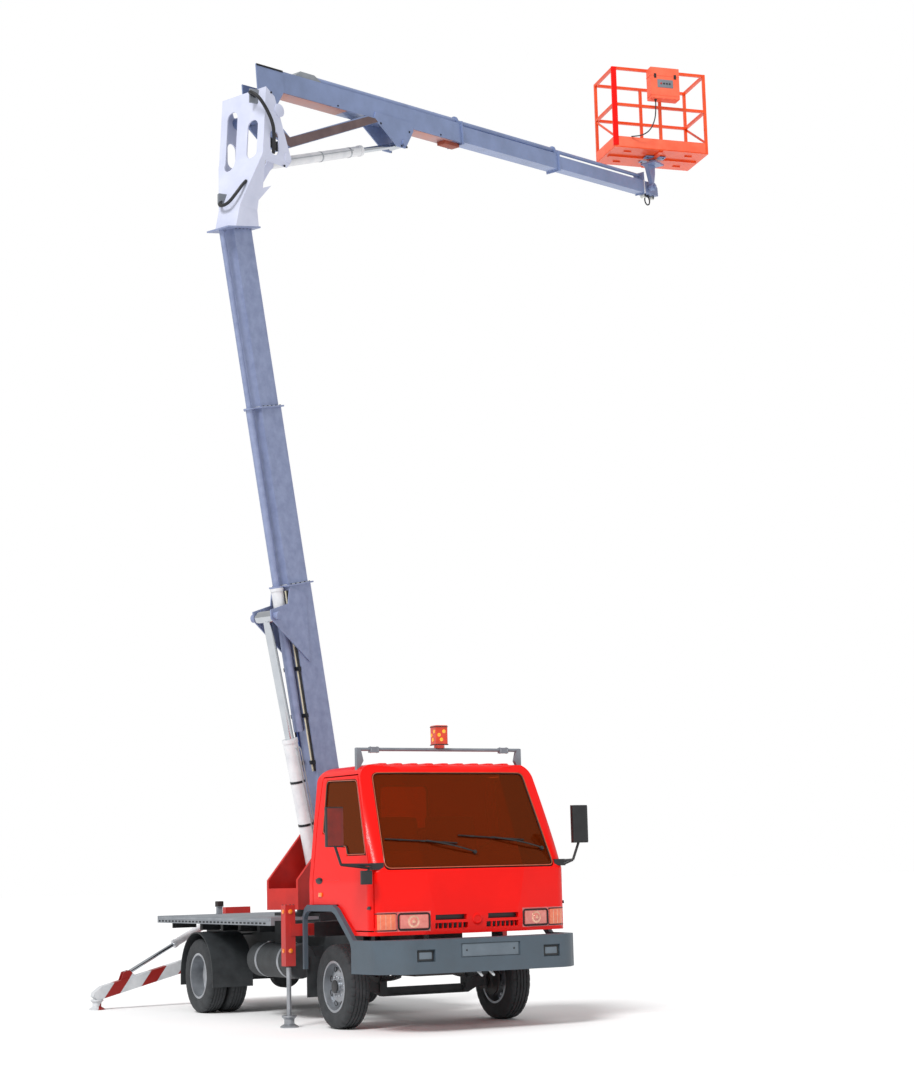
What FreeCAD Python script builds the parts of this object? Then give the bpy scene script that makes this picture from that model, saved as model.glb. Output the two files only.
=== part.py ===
import FreeCAD, Part
import math
import os

# Cherry picker truck: a small cab-over chassis with outriggers, a slewing
# turret, a telescopic lower boom, an elbow bracket, a telescopic upper boom
# and a work basket. Millimetres. While it is drawn, +X is forward, +Y is the
# driver's left, +Z is up, and the origin is on the ground under the front axle.

# --- Driving dimensions: running gear ---
WHEELBASE = 3210.0
TYRE_DIAMETER = 760.0
FRONT_TRACK = 1680.0
REAR_TRACK = 1568.0
TWIN_SPACING = 230.0
FRONT_TYRE_WIDTH = 215.0
REAR_TYRE_WIDTH = 200.0
BEAD_RADIUS = 222.0
RIM_WALL = 10.0
RIM_LIP = 14.0
KINGPIN_Y = 640.0
PIN_CLEARANCE = 0.08
SEAT_GAP = 0.3

# --- Driving dimensions: chassis ---
RAIL_TOP = 760.0
RAIL_HEIGHT = 180.0
RAIL_OUTER_Y = 380.0
RAIL_FLANGE = 60.0
RAIL_WEB = 8.0
RAIL_FRONT_X = 930.0
RAIL_REAR_X = -4490.0
ENGINE_FRONT_X = 310.0
ENGINE_REAR_X = -430.0
GEARBOX_REAR_X = -900.0
FLAP_X = -440.0
FENDER_LOW = 275.0

# --- Driving dimensions: deck and subframe ---
DECK_TOP = 990.0
DECK_THICKNESS = 30.0
DECK_RAIL_DEPTH = 75.0
DECK_HALF_WIDTH = 960.0
DECK_FRONT_X = -1360.0
DECK_REAR_X = -4490.0
PEDESTAL_TOP = 1020.0
PEDESTAL_HALF_X = 560.0
PEDESTAL_HALF_Y = 440.0
REST_X = -4310.0
REST_Y = -300.0

# --- Driving dimensions: cab ---
CAB_HALF_WIDTH = 1000.0
CAB_WALL = 50.0
CAB_REAR_X = -360.0
CAB_FRONT_X = 1060.0
CAB_BOTTOM = 850.0
CAB_FLOOR = 1080.0
CAB_BELT = 1405.0
CAB_ROOF = 2375.0
SCREEN_TOP_X = 610.0
SCREEN_TOP_Z = 2320.0
DOOR_GAP = 11.0
GLASS_THICKNESS = 5.0
GLASS_INSET = 14.0
BUMPER_FRONT_X = 1290.0
BUMPER_HALF_WIDTH = 1060.0
BUMPER_WALL = 50.0
BUMPER_LOW = 520.0
BUMPER_HIGH = 812.0

# --- Driving dimensions: outriggers ---
FRONT_BEAM_X = -540.0
FRONT_BEAM_SIZE = 110.0
FRONT_BEAM_Z = 890.0
FRONT_JACK_Y = 1140.0
JACK_TUBE_SIZE = 100.0
JACK_TUBE_LOW = 560.0
JACK_TUBE_HIGH = 1120.0
JACK_ROD_RADIUS = 22.0
FOOT_RADIUS = 85.0
FOOT_HEIGHT = 110.0
REAR_ARM_X = -4650.0
REAR_ARM_WIDTH = 110.0
REAR_ARM_DEPTH = 130.0
REAR_ARM_PIVOT_Y = 320.0
REAR_ARM_PIVOT_Z = 500.0
REAR_FOOT_Y = 1600.0
REAR_RAM_BASE_Y = 80.0
REAR_RAM_BASE_Z = 1010.0
REAR_RAM_REACH = 950.0

# --- Driving dimensions: turret and booms ---
SLEW_X = -1900.0
SLEW_REST = 113.2
LOWER_REST = 101.9
UPPER_REST = 5.1
TURRET_BASE_Z = 1060.0
TURRET_GAP = 370.0
TURRET_PLATE = 25.0
LOWER_PIVOT_R = 100.0
LOWER_PIVOT_Z = 2200.0
LIFT_BASE_R = -300.0
LIFT_BASE_Z = 1360.0
LOWER_DROP = 262.0
LOWER_EXPOSED = 1825.0
LOWER_STROKE = 1780.0
LOWER_OUTER_TAIL = -160.0
LOWER_OUTER_MOUTH = 2235.0
SECTION_OVERLAP = 520.0
COLLAR_THICKNESS = 16.0
PAD_CLEARANCE = 0.4
LIFT_PIN_S = 1950.0
LIFT_PIN_DROP = 700.0
HEAD_TO_ELBOW_R = 320.0
HEAD_TO_ELBOW_Z = 1280.0
HEAD_TO_RAM_R = 440.0
HEAD_TO_RAM_Z = 800.0
UPPER_RISE = 421.0
UPPER_OUTER_TAIL = -80.0
UPPER_TUBE_START = 150.0
UPPER_OUTER_MOUTH = 3413.0
UPPER_EXPOSED = 1990.0
UPPER_STROKE = 1940.0
UPPER_LUG_S = 2283.0
UPPER_LUG_RISE = 100.0
TIP_PIN_AHEAD = 110.0
TIP_YOKE_LENGTH = 330.0

# --- Driving dimensions: basket ---
BASKET_LENGTH = 1320.0
BASKET_WIDTH = 680.0
BASKET_HEIGHT = 1100.0
BASKET_YAW = 78.5
BASKET_TUBE = 35.0
BASKET_AHEAD = -30.0
BASKET_SIDE = 156.0
BASKET_RISE = 371.0

# Telescopic sections, from the largest to the smallest.
# columns: name, depth, width, wall, conduit outer radius, conduit wall
LOWER_SECTIONS = [
    ("outer", 330.0, 230.0, 6.0, 50.0, 4.0),
    ("middle", 296.0, 196.0, 6.0, 38.0, 4.0),
    ("inner", 264.0, 164.0, 6.0, 27.0, 4.0),
]
UPPER_SECTIONS = [
    ("outer", 230.0, 200.0, 6.0, 42.0, 4.0),
    ("middle", 196.0, 166.0, 5.0, 32.0, 3.0),
    ("inner", 162.0, 132.0, 5.0, 23.0, 3.0),
]
LOWER_CONDUIT_OFFSET = 225.0
UPPER_CONDUIT_OFFSET = 160.0
CONDUIT_START = 750.0

V = FreeCAD.Vector
UP = V(0, 0, 1)
ALONG_X = V(1, 0, 0)
ALONG_Y = V(0, 1, 0)


# --- Shape helpers ---
def box(x0, x1, y0, y1, z0, z1):
    return Part.makeBox(x1 - x0, y1 - y0, z1 - z0, V(x0, y0, z0))


def rod(start, end, radius):
    axis = end - start
    return Part.makeCylinder(radius, axis.Length, start, axis)


def tube(start, end, outer, inner):
    return rod(start, end, outer).cut(rod(start, end, inner))


def fuse(shapes):
    first = shapes[0]
    return first.fuse(shapes[1:]).removeSplitter() if len(shapes) > 1 else first


def prism(corners, sweep):
    return Part.Face(Part.makePolygon(corners + [corners[0]])).extrude(sweep)


def inset_outline(corners, inset):
    """Move every side of an anticlockwise outline inwards by inset, rounded corners kept concentric."""
    moved = []
    for index, (a, b, radius) in enumerate(corners):
        before = corners[index - 1]
        after = corners[(index + 1) % len(corners)]
        first = math.atan2(b - before[1], a - before[0])
        turn = (math.atan2(after[1] - b, after[0] - a) - first + math.pi) % (2 * math.pi) - math.pi
        reach = inset / math.cos(turn / 2)
        normal = first + turn / 2 + math.pi / 2
        kept = max(radius - math.copysign(inset, turn), 0) if radius else 0
        moved.append((a + reach * math.cos(normal), b + reach * math.sin(normal), kept))
    return moved


def rounded_face(corners, place):
    """Face of an anticlockwise outline of (a, b, radius) corners; place makes a point from a and b."""
    runs = []
    for index, (a, b, radius) in enumerate(corners):
        before = corners[index - 1]
        after = corners[(index + 1) % len(corners)]
        first = math.atan2(b - before[1], a - before[0])
        turn = (math.atan2(after[1] - b, after[0] - a) - first + math.pi) % (2 * math.pi) - math.pi
        back = abs(radius * math.tan(turn / 2))
        start = (a - back * math.cos(first), b - back * math.sin(first))
        end = (a + back * math.cos(first + turn), b + back * math.sin(first + turn))
        normal = first + turn / 2 + math.copysign(math.pi / 2, turn)
        depth = radius / math.cos(turn / 2) - radius
        top = (a + depth * math.cos(normal), b + depth * math.sin(normal))
        runs.append((place(*start), place(*top), place(*end), back))
    edges = []
    for index, (start, top, end, back) in enumerate(runs):
        if back > 0.001:
            edges.append(Part.Arc(start, top, end).toShape())
        following = runs[(index + 1) % len(runs)][0]
        if end.distanceToPoint(following) > 0.001:
            edges.append(Part.LineSegment(end, following).toShape())
    return Part.Face(Part.Wire(edges))


def offset_prism(points, inset, plane, low, high):
    """Extrude an outline moved inwards by inset; plane is "side", "front" or "plan"."""
    corners = inset_outline([(corner + (0,))[:3] for corner in points], inset)
    if plane == "side":
        return rounded_face(corners, lambda a, b: V(a, low, b)).extrude(V(0, high - low, 0))
    if plane == "front":
        return rounded_face(corners, lambda a, b: V(low, a, b)).extrude(V(high - low, 0, 0))
    return rounded_face(corners, lambda a, b: V(a, b, low)).extrude(V(0, 0, high - low))


def side_prism(points, y0, y1):
    """Extrude an outline of (x, z) points from y0 to y1."""
    return prism([V(x, y0, z) for x, z in points], V(0, y1 - y0, 0))


def front_prism(points, x0, x1):
    """Extrude an outline of (y, z) points from x0 to x1."""
    return prism([V(x0, y, z) for y, z in points], V(x1 - x0, 0, 0))


def plan_prism(points, z0, z1):
    """Extrude an outline of (x, y) points from z0 to z1."""
    return prism([V(x, y, z0) for x, y in points], V(0, 0, z1 - z0))


def round_edges(shape, direction, radius):
    """Round the straight edges that run along a direction."""
    edges = []
    for edge in shape.Edges:
        if edge.Curve.TypeId == "Part::GeomLine":
            run = edge.Vertexes[-1].Point - edge.Vertexes[0].Point
            if run.cross(direction).Length < 0.001 * run.Length:
                edges.append(edge)
    return shape.makeFillet(radius, edges)


def revolve(profile, centre, axis):
    """Turn an outline of (radius, height) points about an axis through centre."""
    flat = Part.Face(Part.makePolygon([V(r, 0, h) for r, h in profile + profile[:1]]))
    solid = flat.revolve(V(0, 0, 0), UP, 360)
    solid.Placement = FreeCAD.Placement(centre, FreeCAD.Rotation(UP, axis))
    return solid


def mirrored(shape):
    return shape.mirror(V(0, 0, 0), ALONG_Y)


def solid_box_tube(s0, s1, width, depth, wall, centre):
    """Rectangular tube along X, centred on height centre, with its ends open."""
    outer = box(s0, s1, -width / 2, width / 2, centre - depth / 2, centre + depth / 2)
    inner = box(s0 - 1, s1 + 1, -width / 2 + wall, width / 2 - wall,
                centre - depth / 2 + wall, centre + depth / 2 - wall)
    return outer.cut(inner)


# --- Boom plane: x is the reach from the slew axis, z is the height ---
def to_truck(shape):
    """Turn a shape from the boom plane about the slew axis to its rest heading."""
    turned = shape.copy()
    turned.rotate(V(0, 0, 0), UP, SLEW_REST)
    turned.translate(V(SLEW_X, 0, 0))
    return turned


def tilted(shape, angle, reach, height):
    """Raise a shape drawn along X by an angle and carry it to its pivot."""
    raised = shape.copy()
    raised.rotate(V(0, 0, 0), V(0, -1, 0), angle)
    raised.translate(V(reach, 0, height))
    return raised


def plane_point(angle, along, across, reach, height):
    """Boom-plane (reach, height) of a point given along and across a boom."""
    a = math.radians(angle)
    return (reach + along * math.cos(a) - across * math.sin(a),
            height + along * math.sin(a) + across * math.cos(a))


def truck_point(reach, side, height):
    a = math.radians(SLEW_REST)
    return V(SLEW_X + reach * math.cos(a) - side * math.sin(a),
             reach * math.sin(a) + side * math.cos(a), height)


LOWER_HEAD_S = LOWER_OUTER_MOUTH + 2 * LOWER_EXPOSED + COLLAR_THICKNESS
HEAD_R, HEAD_Z = plane_point(LOWER_REST, LOWER_HEAD_S, LOWER_DROP, LOWER_PIVOT_R, LOWER_PIVOT_Z)
ELBOW_R = HEAD_R + HEAD_TO_ELBOW_R
ELBOW_Z = HEAD_Z + HEAD_TO_ELBOW_Z
RAM_BASE_R = HEAD_R + HEAD_TO_RAM_R
RAM_BASE_Z = HEAD_Z + HEAD_TO_RAM_Z
LIFT_PIN_R, LIFT_PIN_Z = plane_point(LOWER_REST, LIFT_PIN_S, LIFT_PIN_DROP,
                                     LOWER_PIVOT_R, LOWER_PIVOT_Z)
UPPER_PIN_R, UPPER_PIN_Z = plane_point(UPPER_REST, UPPER_LUG_S, UPPER_LUG_RISE, ELBOW_R, ELBOW_Z)
UPPER_END_S = UPPER_OUTER_MOUTH + 2 * UPPER_EXPOSED
TIP_PIN_R, TIP_PIN_Z = plane_point(UPPER_REST, UPPER_END_S + TIP_PIN_AHEAD, UPPER_RISE,
                                   ELBOW_R, ELBOW_Z)
BASKET_R = TIP_PIN_R + BASKET_AHEAD
BASKET_Z = TIP_PIN_Z + BASKET_RISE


# --- Running gear ---
WHEEL_Z = TYRE_DIAMETER / 2
FRONT_WHEEL_Y = FRONT_TRACK / 2
REAR_WHEEL_Y = REAR_TRACK / 2
HUB_RADIUS = 70.0
SPINDLE_RADIUS = 32.0
AXLE_TUBE_RADIUS = 62.0
SPRING_Y = 450.0
SPRING_WIDTH = 60.0
FRONT_PAD_Z = WHEEL_Z + 12
REAR_PAD_Z = WHEEL_Z + AXLE_TUBE_RADIUS + 8


def tyre(centre_y, wheel_x, width):
    half = width / 2
    tread_radius = TYRE_DIAMETER / 2
    bead_half = half * 0.79
    profile = [
        (BEAD_RADIUS, -bead_half), (BEAD_RADIUS + RIM_LIP + 4, -bead_half),
        (BEAD_RADIUS + 44, -half * 0.96), (BEAD_RADIUS + 80, -half),
        (tread_radius - 22, -half * 0.93), (tread_radius, -half * 0.80),
        (tread_radius, half * 0.80), (tread_radius - 22, half * 0.93),
        (BEAD_RADIUS + 80, half), (BEAD_RADIUS + 44, half * 0.96),
        (BEAD_RADIUS + RIM_LIP + 4, bead_half), (BEAD_RADIUS, bead_half),
    ]
    return revolve(profile, V(wheel_x, centre_y, WHEEL_Z), ALONG_Y)


def rim_barrel(centre_y, wheel_x, width):
    seat_half = width / 2 * 0.79
    inner = BEAD_RADIUS - RIM_WALL
    profile = [
        (inner, -seat_half - 8), (BEAD_RADIUS + RIM_LIP, -seat_half - 8),
        (BEAD_RADIUS + RIM_LIP, -seat_half - 2), (BEAD_RADIUS, -seat_half - 2),
        (BEAD_RADIUS, seat_half + 2), (BEAD_RADIUS + RIM_LIP, seat_half + 2),
        (BEAD_RADIUS + RIM_LIP, seat_half + 8), (inner, seat_half + 8),
    ]
    return revolve(profile, V(wheel_x, centre_y, WHEEL_Z), ALONG_Y)


def rim_disc(disc_y, wheel_x, dish):
    """Wheel disc bowed along Y by dish at its middle, with eight oval vents."""
    rim_inner = BEAD_RADIUS - RIM_WALL
    profile = [
        (HUB_RADIUS - 10, dish), (130, dish), (185, 0), (rim_inner + 2, 0),
        (rim_inner + 2, 10), (190, 10), (136, dish + 12), (HUB_RADIUS - 10, dish + 12),
    ]
    disc = revolve(profile, V(wheel_x, disc_y, WHEEL_Z), ALONG_Y)
    holes = []
    for index in range(8):
        angle = math.radians(45 * index + 22.5)
        centre = V(wheel_x + 165 * math.cos(angle), disc_y - 200, WHEEL_Z + 165 * math.sin(angle))
        holes.append(Part.makeCylinder(17, 400, centre, ALONG_Y))
    return disc.cut(holes)


def front_rim():
    """Left front rim and hub cap, with its disc near the outer edge."""
    hub = tube(V(0, FRONT_WHEEL_Y - 40, WHEEL_Z), V(0, FRONT_WHEEL_Y + 40, WHEEL_Z),
               HUB_RADIUS, SPINDLE_RADIUS + PIN_CLEARANCE)
    cap = rod(V(0, FRONT_WHEEL_Y + 40, WHEEL_Z), V(0, FRONT_WHEEL_Y + 85, WHEEL_Z), 58)
    return fuse([rim_barrel(FRONT_WHEEL_Y, 0, FRONT_TYRE_WIDTH),
                 rim_disc(FRONT_WHEEL_Y + 10, 0, 25), hub, cap])


def rear_rim():
    """Left rear pair of rims, bolted disc to disc on one hub."""
    parts = []
    disc_y = REAR_WHEEL_Y
    for side in (-1, 1):
        barrel_y = REAR_WHEEL_Y + side * TWIN_SPACING / 2
        parts.append(rim_barrel(barrel_y, -WHEELBASE, REAR_TYRE_WIDTH))
        rim_inner = BEAD_RADIUS - RIM_WALL
        start = disc_y
        reach = side * (TWIN_SPACING / 2 - REAR_TYRE_WIDTH / 2 * 0.79 + 20)
        profile = [
            (HUB_RADIUS - 10, 0), (150, 0), (rim_inner + 2, reach), (rim_inner + 2, reach + side * 12),
            (150, side * 12), (HUB_RADIUS - 10, side * 12),
        ]
        parts.append(revolve(profile, V(-WHEELBASE, start, WHEEL_Z), ALONG_Y))
    parts.append(tube(V(-WHEELBASE, REAR_WHEEL_Y - 90, WHEEL_Z),
                      V(-WHEELBASE, REAR_WHEEL_Y + 90, WHEEL_Z),
                      HUB_RADIUS, SPINDLE_RADIUS + PIN_CLEARANCE))
    parts.append(rod(V(-WHEELBASE, REAR_WHEEL_Y + 90, WHEEL_Z),
                     V(-WHEELBASE, REAR_WHEEL_Y + 125, WHEEL_Z), HUB_RADIUS))
    return fuse(parts)


def rear_tyres():
    return Part.makeCompound([
        tyre(REAR_WHEEL_Y - TWIN_SPACING / 2, -WHEELBASE, REAR_TYRE_WIDTH),
        tyre(REAR_WHEEL_Y + TWIN_SPACING / 2, -WHEELBASE, REAR_TYRE_WIDTH),
    ])


KNUCKLE_LUG_GAP = 120.0
KINGPIN_RADIUS = 18.0


def knuckle():
    """Left knuckle: two lugs and a kingpin round the axle's end, and the spindle."""
    low = WHEEL_Z - KNUCKLE_LUG_GAP / 2
    high = WHEEL_Z + KNUCKLE_LUG_GAP / 2
    parts = [
        rod(V(0, KINGPIN_Y, low - 28), V(0, KINGPIN_Y, low - 1), 42),
        rod(V(0, KINGPIN_Y, high + 1), V(0, KINGPIN_Y, high + 28), 42),
        rod(V(0, KINGPIN_Y, low - 28), V(0, KINGPIN_Y, high + 28), KINGPIN_RADIUS),
        box(-40, 40, KINGPIN_Y + 44, KINGPIN_Y + 74, low - 28, high + 28),
        box(-30, 30, KINGPIN_Y, KINGPIN_Y + 50, low - 28, low - 1),
        box(-30, 30, KINGPIN_Y, KINGPIN_Y + 50, high + 1, high + 28),
        rod(V(0, KINGPIN_Y + 70, WHEEL_Z), V(0, FRONT_WHEEL_Y + 36, WHEEL_Z), SPINDLE_RADIUS),
        rod(V(0, KINGPIN_Y + 74, WHEEL_Z), V(0, KINGPIN_Y + 90, WHEEL_Z), 150),
        box(-190, 0, KINGPIN_Y + 50, KINGPIN_Y + 70, low - 20, low),
    ]
    return fuse(parts)


def front_axle():
    low = WHEEL_Z - KNUCKLE_LUG_GAP / 2
    high = WHEEL_Z + KNUCKLE_LUG_GAP / 2
    drop = WHEEL_Z - 110
    outline = [
        (-KINGPIN_Y, low), (-KINGPIN_Y + 90, low), (-450, drop), (450, drop),
        (KINGPIN_Y - 90, low), (KINGPIN_Y, low), (KINGPIN_Y, high), (KINGPIN_Y - 60, high),
        (430, drop + 80), (-430, drop + 80), (-KINGPIN_Y + 60, high), (-KINGPIN_Y, high),
    ]
    beam = front_prism(outline, -35, 35)
    web_cut = front_prism([(-400, drop + 14), (400, drop + 14), (400, drop + 66), (-400, drop + 66)],
                          8, 40)
    beam = beam.cut([web_cut, web_cut.mirror(V(0, 0, 0), ALONG_X)])
    bosses = [rod(V(0, side * KINGPIN_Y, low), V(0, side * KINGPIN_Y, high), 38) for side in (-1, 1)]
    bores = [rod(V(0, side * KINGPIN_Y, low - 1), V(0, side * KINGPIN_Y, high + 1),
                 KINGPIN_RADIUS + PIN_CLEARANCE) for side in (-1, 1)]
    pads = [spring_pad(0, side, drop + 40, FRONT_PAD_Z) for side in (-1, 1)]
    return fuse([beam] + bosses + pads).cut(bores)


def spring_pad(axle_x, side, low, high):
    half = SPRING_WIDTH / 2 + 8
    return box(axle_x - 50, axle_x + 50, side * SPRING_Y - half, side * SPRING_Y + half, low, high)


def rear_axle():
    banjo = revolve([(0, -120), (110, -105), (165, -50), (165, 50), (110, 120), (60, 190), (0, 190)],
                    V(-WHEELBASE, 0, WHEEL_Z), ALONG_X)
    plate_y = REAR_WHEEL_Y - TWIN_SPACING / 2 - REAR_TYRE_WIDTH / 2 - 30
    axle_tube = rod(V(-WHEELBASE, -plate_y, WHEEL_Z), V(-WHEELBASE, plate_y, WHEEL_Z), AXLE_TUBE_RADIUS)
    parts = [banjo, axle_tube]
    for side in (-1, 1):
        parts.append(spring_pad(-WHEELBASE, side, WHEEL_Z, REAR_PAD_Z))
        parts.append(rod(V(-WHEELBASE, side * plate_y, WHEEL_Z),
                         V(-WHEELBASE, side * (plate_y + 20), WHEEL_Z), 190))
        parts.append(rod(V(-WHEELBASE, side * plate_y, WHEEL_Z),
                         V(-WHEELBASE, side * (REAR_WHEEL_Y + 85), WHEEL_Z), SPINDLE_RADIUS))
    return fuse(parts)




def leaf_pack(axle_x, pad_z, half_span, leaves):
    """Left leaf spring: its ends hang from hangers on the rail, its middle seats on a pad."""
    bars = []
    seat_z = pad_z + SEAT_GAP + 14 * leaves
    eye_z = RAIL_TOP - RAIL_HEIGHT - 40
    for index in range(leaves):
        reach = half_span * (1 - 0.18 * index)
        lift = (eye_z - seat_z) * (reach / half_span) ** 2
        drop = 14 * index
        low = [V(axle_x - reach, 0, seat_z + lift - drop), V(axle_x, 0, seat_z - drop),
               V(axle_x + reach, 0, seat_z + lift - drop)]
        high = [point + V(0, 0, 12) for point in low]
        edges = [
            Part.Arc(low[0], low[1], low[2]).toShape(), Part.LineSegment(low[2], high[2]).toShape(),
            Part.Arc(high[2], high[1], high[0]).toShape(), Part.LineSegment(high[0], low[0]).toShape(),
        ]
        leaf = Part.Face(Part.Wire(edges)).extrude(V(0, SPRING_WIDTH, 0))
        leaf.translate(V(0, SPRING_Y - SPRING_WIDTH / 2, 0))
        bars.append(leaf)
    clamp = box(axle_x - 50, axle_x + 50, SPRING_Y - SPRING_WIDTH / 2 - 8,
                SPRING_Y + SPRING_WIDTH / 2 + 8, seat_z - 14 * leaves, seat_z + 14)
    hangers = []
    for side in (-1, 1):
        x = axle_x + side * (half_span - 5)
        hangers.append(box(x - 22, x + 22, RAIL_OUTER_Y, SPRING_Y + SPRING_WIDTH / 2,
                           eye_z - 6, eye_z + 60))
    return fuse(bars + [clamp] + hangers)


def leaf_springs():
    front = leaf_pack(0, FRONT_PAD_Z, 560, 3)
    rear = leaf_pack(-WHEELBASE, REAR_PAD_Z, 620, 4)
    return Part.makeCompound([front, mirrored(front), rear, mirrored(rear)])


# --- Chassis ---
def chassis_frame():
    parts = []
    low = RAIL_TOP - RAIL_HEIGHT
    for side in (-1, 1):
        rail = box(RAIL_REAR_X, RAIL_FRONT_X, RAIL_OUTER_Y - RAIL_FLANGE, RAIL_OUTER_Y, low, RAIL_TOP)
        hollow = box(RAIL_REAR_X - 1, RAIL_FRONT_X + 1, RAIL_OUTER_Y - RAIL_FLANGE - 1,
                     RAIL_OUTER_Y - RAIL_WEB, low + RAIL_WEB, RAIL_TOP - RAIL_WEB)
        channel = rail.cut(hollow)
        parts.append(channel if side > 0 else mirrored(channel))
    inner = RAIL_OUTER_Y - RAIL_WEB
    for x in (880, 430, -1000, -1400, -2400, -2900, -3700, -4440):
        parts.append(box(x - 30, x + 30, -inner, inner, low + 20, low + 110))
    tow_plate = box(RAIL_FRONT_X - 60, RAIL_FRONT_X + 60, -14, 14, 490, low + 60)
    hole = rod(V(RAIL_FRONT_X + 30, -20, 520), V(RAIL_FRONT_X + 30, 20, 520), TOW_HOLE_RADIUS)
    stem = box(RAIL_FRONT_X - 90, RAIL_FRONT_X - 20, -60, 60, low - 10, low + 60)
    parts += [tow_plate.cut(hole), stem]
    for side in (-1, 1):
        y0, y1 = sorted((side * (RAIL_OUTER_Y - RAIL_FLANGE), side * RAIL_OUTER_Y))
        parts.append(box(740, 840, y0, y1, RAIL_TOP, CAB_BOTTOM - SEAT_GAP))
        parts.append(box(-335, -255, y0, y1, RAIL_TOP, CAB_FLOOR - SEAT_GAP))
        y0, y1 = sorted((side * 250, side * RAIL_OUTER_Y))
        parts.append(box(RAIL_FRONT_X - 10, BUMPER_FRONT_X - 60, y0, y1, low + 20, low + 120))
    return fuse(parts)


TOW_HOLE_RADIUS = 18.0


def engine():
    """Plain block for the engine's weight, on four mounts between the rails."""
    mount_y = RAIL_OUTER_Y - RAIL_WEB - SEAT_GAP
    parts = [box(ENGINE_REAR_X, ENGINE_FRONT_X, -250, 250, 450, 990)]
    for x in (ENGINE_REAR_X + 80, ENGINE_FRONT_X - 80):
        parts.append(box(x - 35, x + 35, -mount_y, mount_y, 610, 660))
    return fuse(parts)


def driveline():
    """Gearbox and propeller shaft, from the engine to the rear axle."""
    gearbox = box(GEARBOX_REAR_X, ENGINE_REAR_X, -130, 130, 480, 780)
    shaft = rod(V(GEARBOX_REAR_X - 1, 0, 540), V(-WHEELBASE + 195, 0, WHEEL_Z), 42)
    return fuse([gearbox, shaft])


def fuel_tank():
    drum = Part.makeCylinder(170, 980, V(-2200, -700, 570), ALONG_X)
    drum = drum.makeFillet(25, [e for e in drum.Edges if e.Curve.TypeId == "Part::GeomCircle"])
    brackets = [box(x - 15, x + 15, -545, -RAIL_OUTER_Y, 600, 700) for x in (-1960, -1420)]
    return fuse([drum] + brackets)


def hydraulic_tank():
    case = round_edges(box(-2050, -1350, 480, 880, 420, 740), ALONG_X, 25)
    brackets = [box(x - 15, x + 15, RAIL_OUTER_Y, 500, 600, 700) for x in (-1900, -1500)]
    return fuse([case] + brackets)


# --- Subframe and deck ---
# Bearers across the subframe; the one over the rear axle ends inside the wheels.
# columns: x, half length
DECK_BEARERS = [(-4300.0, 520.0), (-3700.0, 520.0), (-3210.0, 520.0), (-2700.0, 520.0)]
FRONT_HOUSING = FRONT_BEAM_SIZE + 24


def subframe():
    parts = []
    rail_y = RAIL_OUTER_Y - RAIL_FLANGE
    for side in (-1, 1):
        y0, y1 = sorted((side * rail_y, side * RAIL_OUTER_Y))
        parts.append(box(RAIL_REAR_X, FRONT_BEAM_X + 40, y0, y1, RAIL_TOP, RAIL_TOP + 62))
    for x, half_length in DECK_BEARERS:
        parts.append(box(x - 35, x + 35, -half_length, half_length, RAIL_TOP + 62,
                         DECK_TOP - DECK_RAIL_DEPTH))
    parts.append(box(SLEW_X - PEDESTAL_HALF_X, SLEW_X + PEDESTAL_HALF_X,
                     -PEDESTAL_HALF_Y, PEDESTAL_HALF_Y, RAIL_TOP + 40, PEDESTAL_TOP))
    parts.append(box(SLEW_X + PEDESTAL_HALF_X - 1, FRONT_BEAM_X - 40, -RAIL_OUTER_Y, RAIL_OUTER_Y,
                     RAIL_TOP + 40, FRONT_BEAM_Z + 60))
    half = FRONT_HOUSING / 2
    inner = FRONT_BEAM_SIZE / 2 + PAD_CLEARANCE
    housing = box(FRONT_BEAM_X - half, FRONT_BEAM_X + half, -900, 900,
                  FRONT_BEAM_Z - half, FRONT_BEAM_Z + half)
    bore = box(FRONT_BEAM_X - inner, FRONT_BEAM_X + inner, -901, 901,
               FRONT_BEAM_Z - inner, FRONT_BEAM_Z + inner)
    ring = Part.makeCylinder(400, TURRET_BASE_Z - SEAT_GAP - PEDESTAL_TOP, V(SLEW_X, 0, PEDESTAL_TOP))
    parts.append(ring)
    body = fuse(parts)
    body = fuse([body, housing]).cut(bore)
    return body


def rear_outrigger_frame():
    """Cross box behind the rails, with a fork for each arm and each ram."""
    half = REAR_ARM_WIDTH / 2
    plate = 14.0
    parts = [box(RAIL_REAR_X - 12, RAIL_REAR_X, -420, 420, 420, 800)]
    for y in (-REAR_ARM_PIVOT_Y, REAR_ARM_PIVOT_Y):
        for side in (-1, 1):
            x = REAR_ARM_X + side * (half + 1 + plate / 2)
            parts.append(box(x - plate / 2, x + plate / 2, y - 70, y + 70, 420, 600))
        x_far = REAR_ARM_X - half - 1 - plate
        parts.append(box(x_far, RAIL_REAR_X, y - math.copysign(85, y) - 15, y - math.copysign(85, y) + 15,
                         420, 600))
        parts.append(rod(V(x_far, y, REAR_ARM_PIVOT_Z), V(RAIL_REAR_X, y, REAR_ARM_PIVOT_Z), 22))
    mast = box(RAIL_REAR_X - 90, RAIL_REAR_X, -150, 150, 780, REAR_RAM_BASE_Z + 50)
    parts.append(mast)
    for y in (-REAR_RAM_BASE_Y, REAR_RAM_BASE_Y):
        parts.append(rod(V(REAR_ARM_X - 40, y, REAR_RAM_BASE_Z), V(RAIL_REAR_X, y, REAR_RAM_BASE_Z), 18))
    return fuse(parts)


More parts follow.
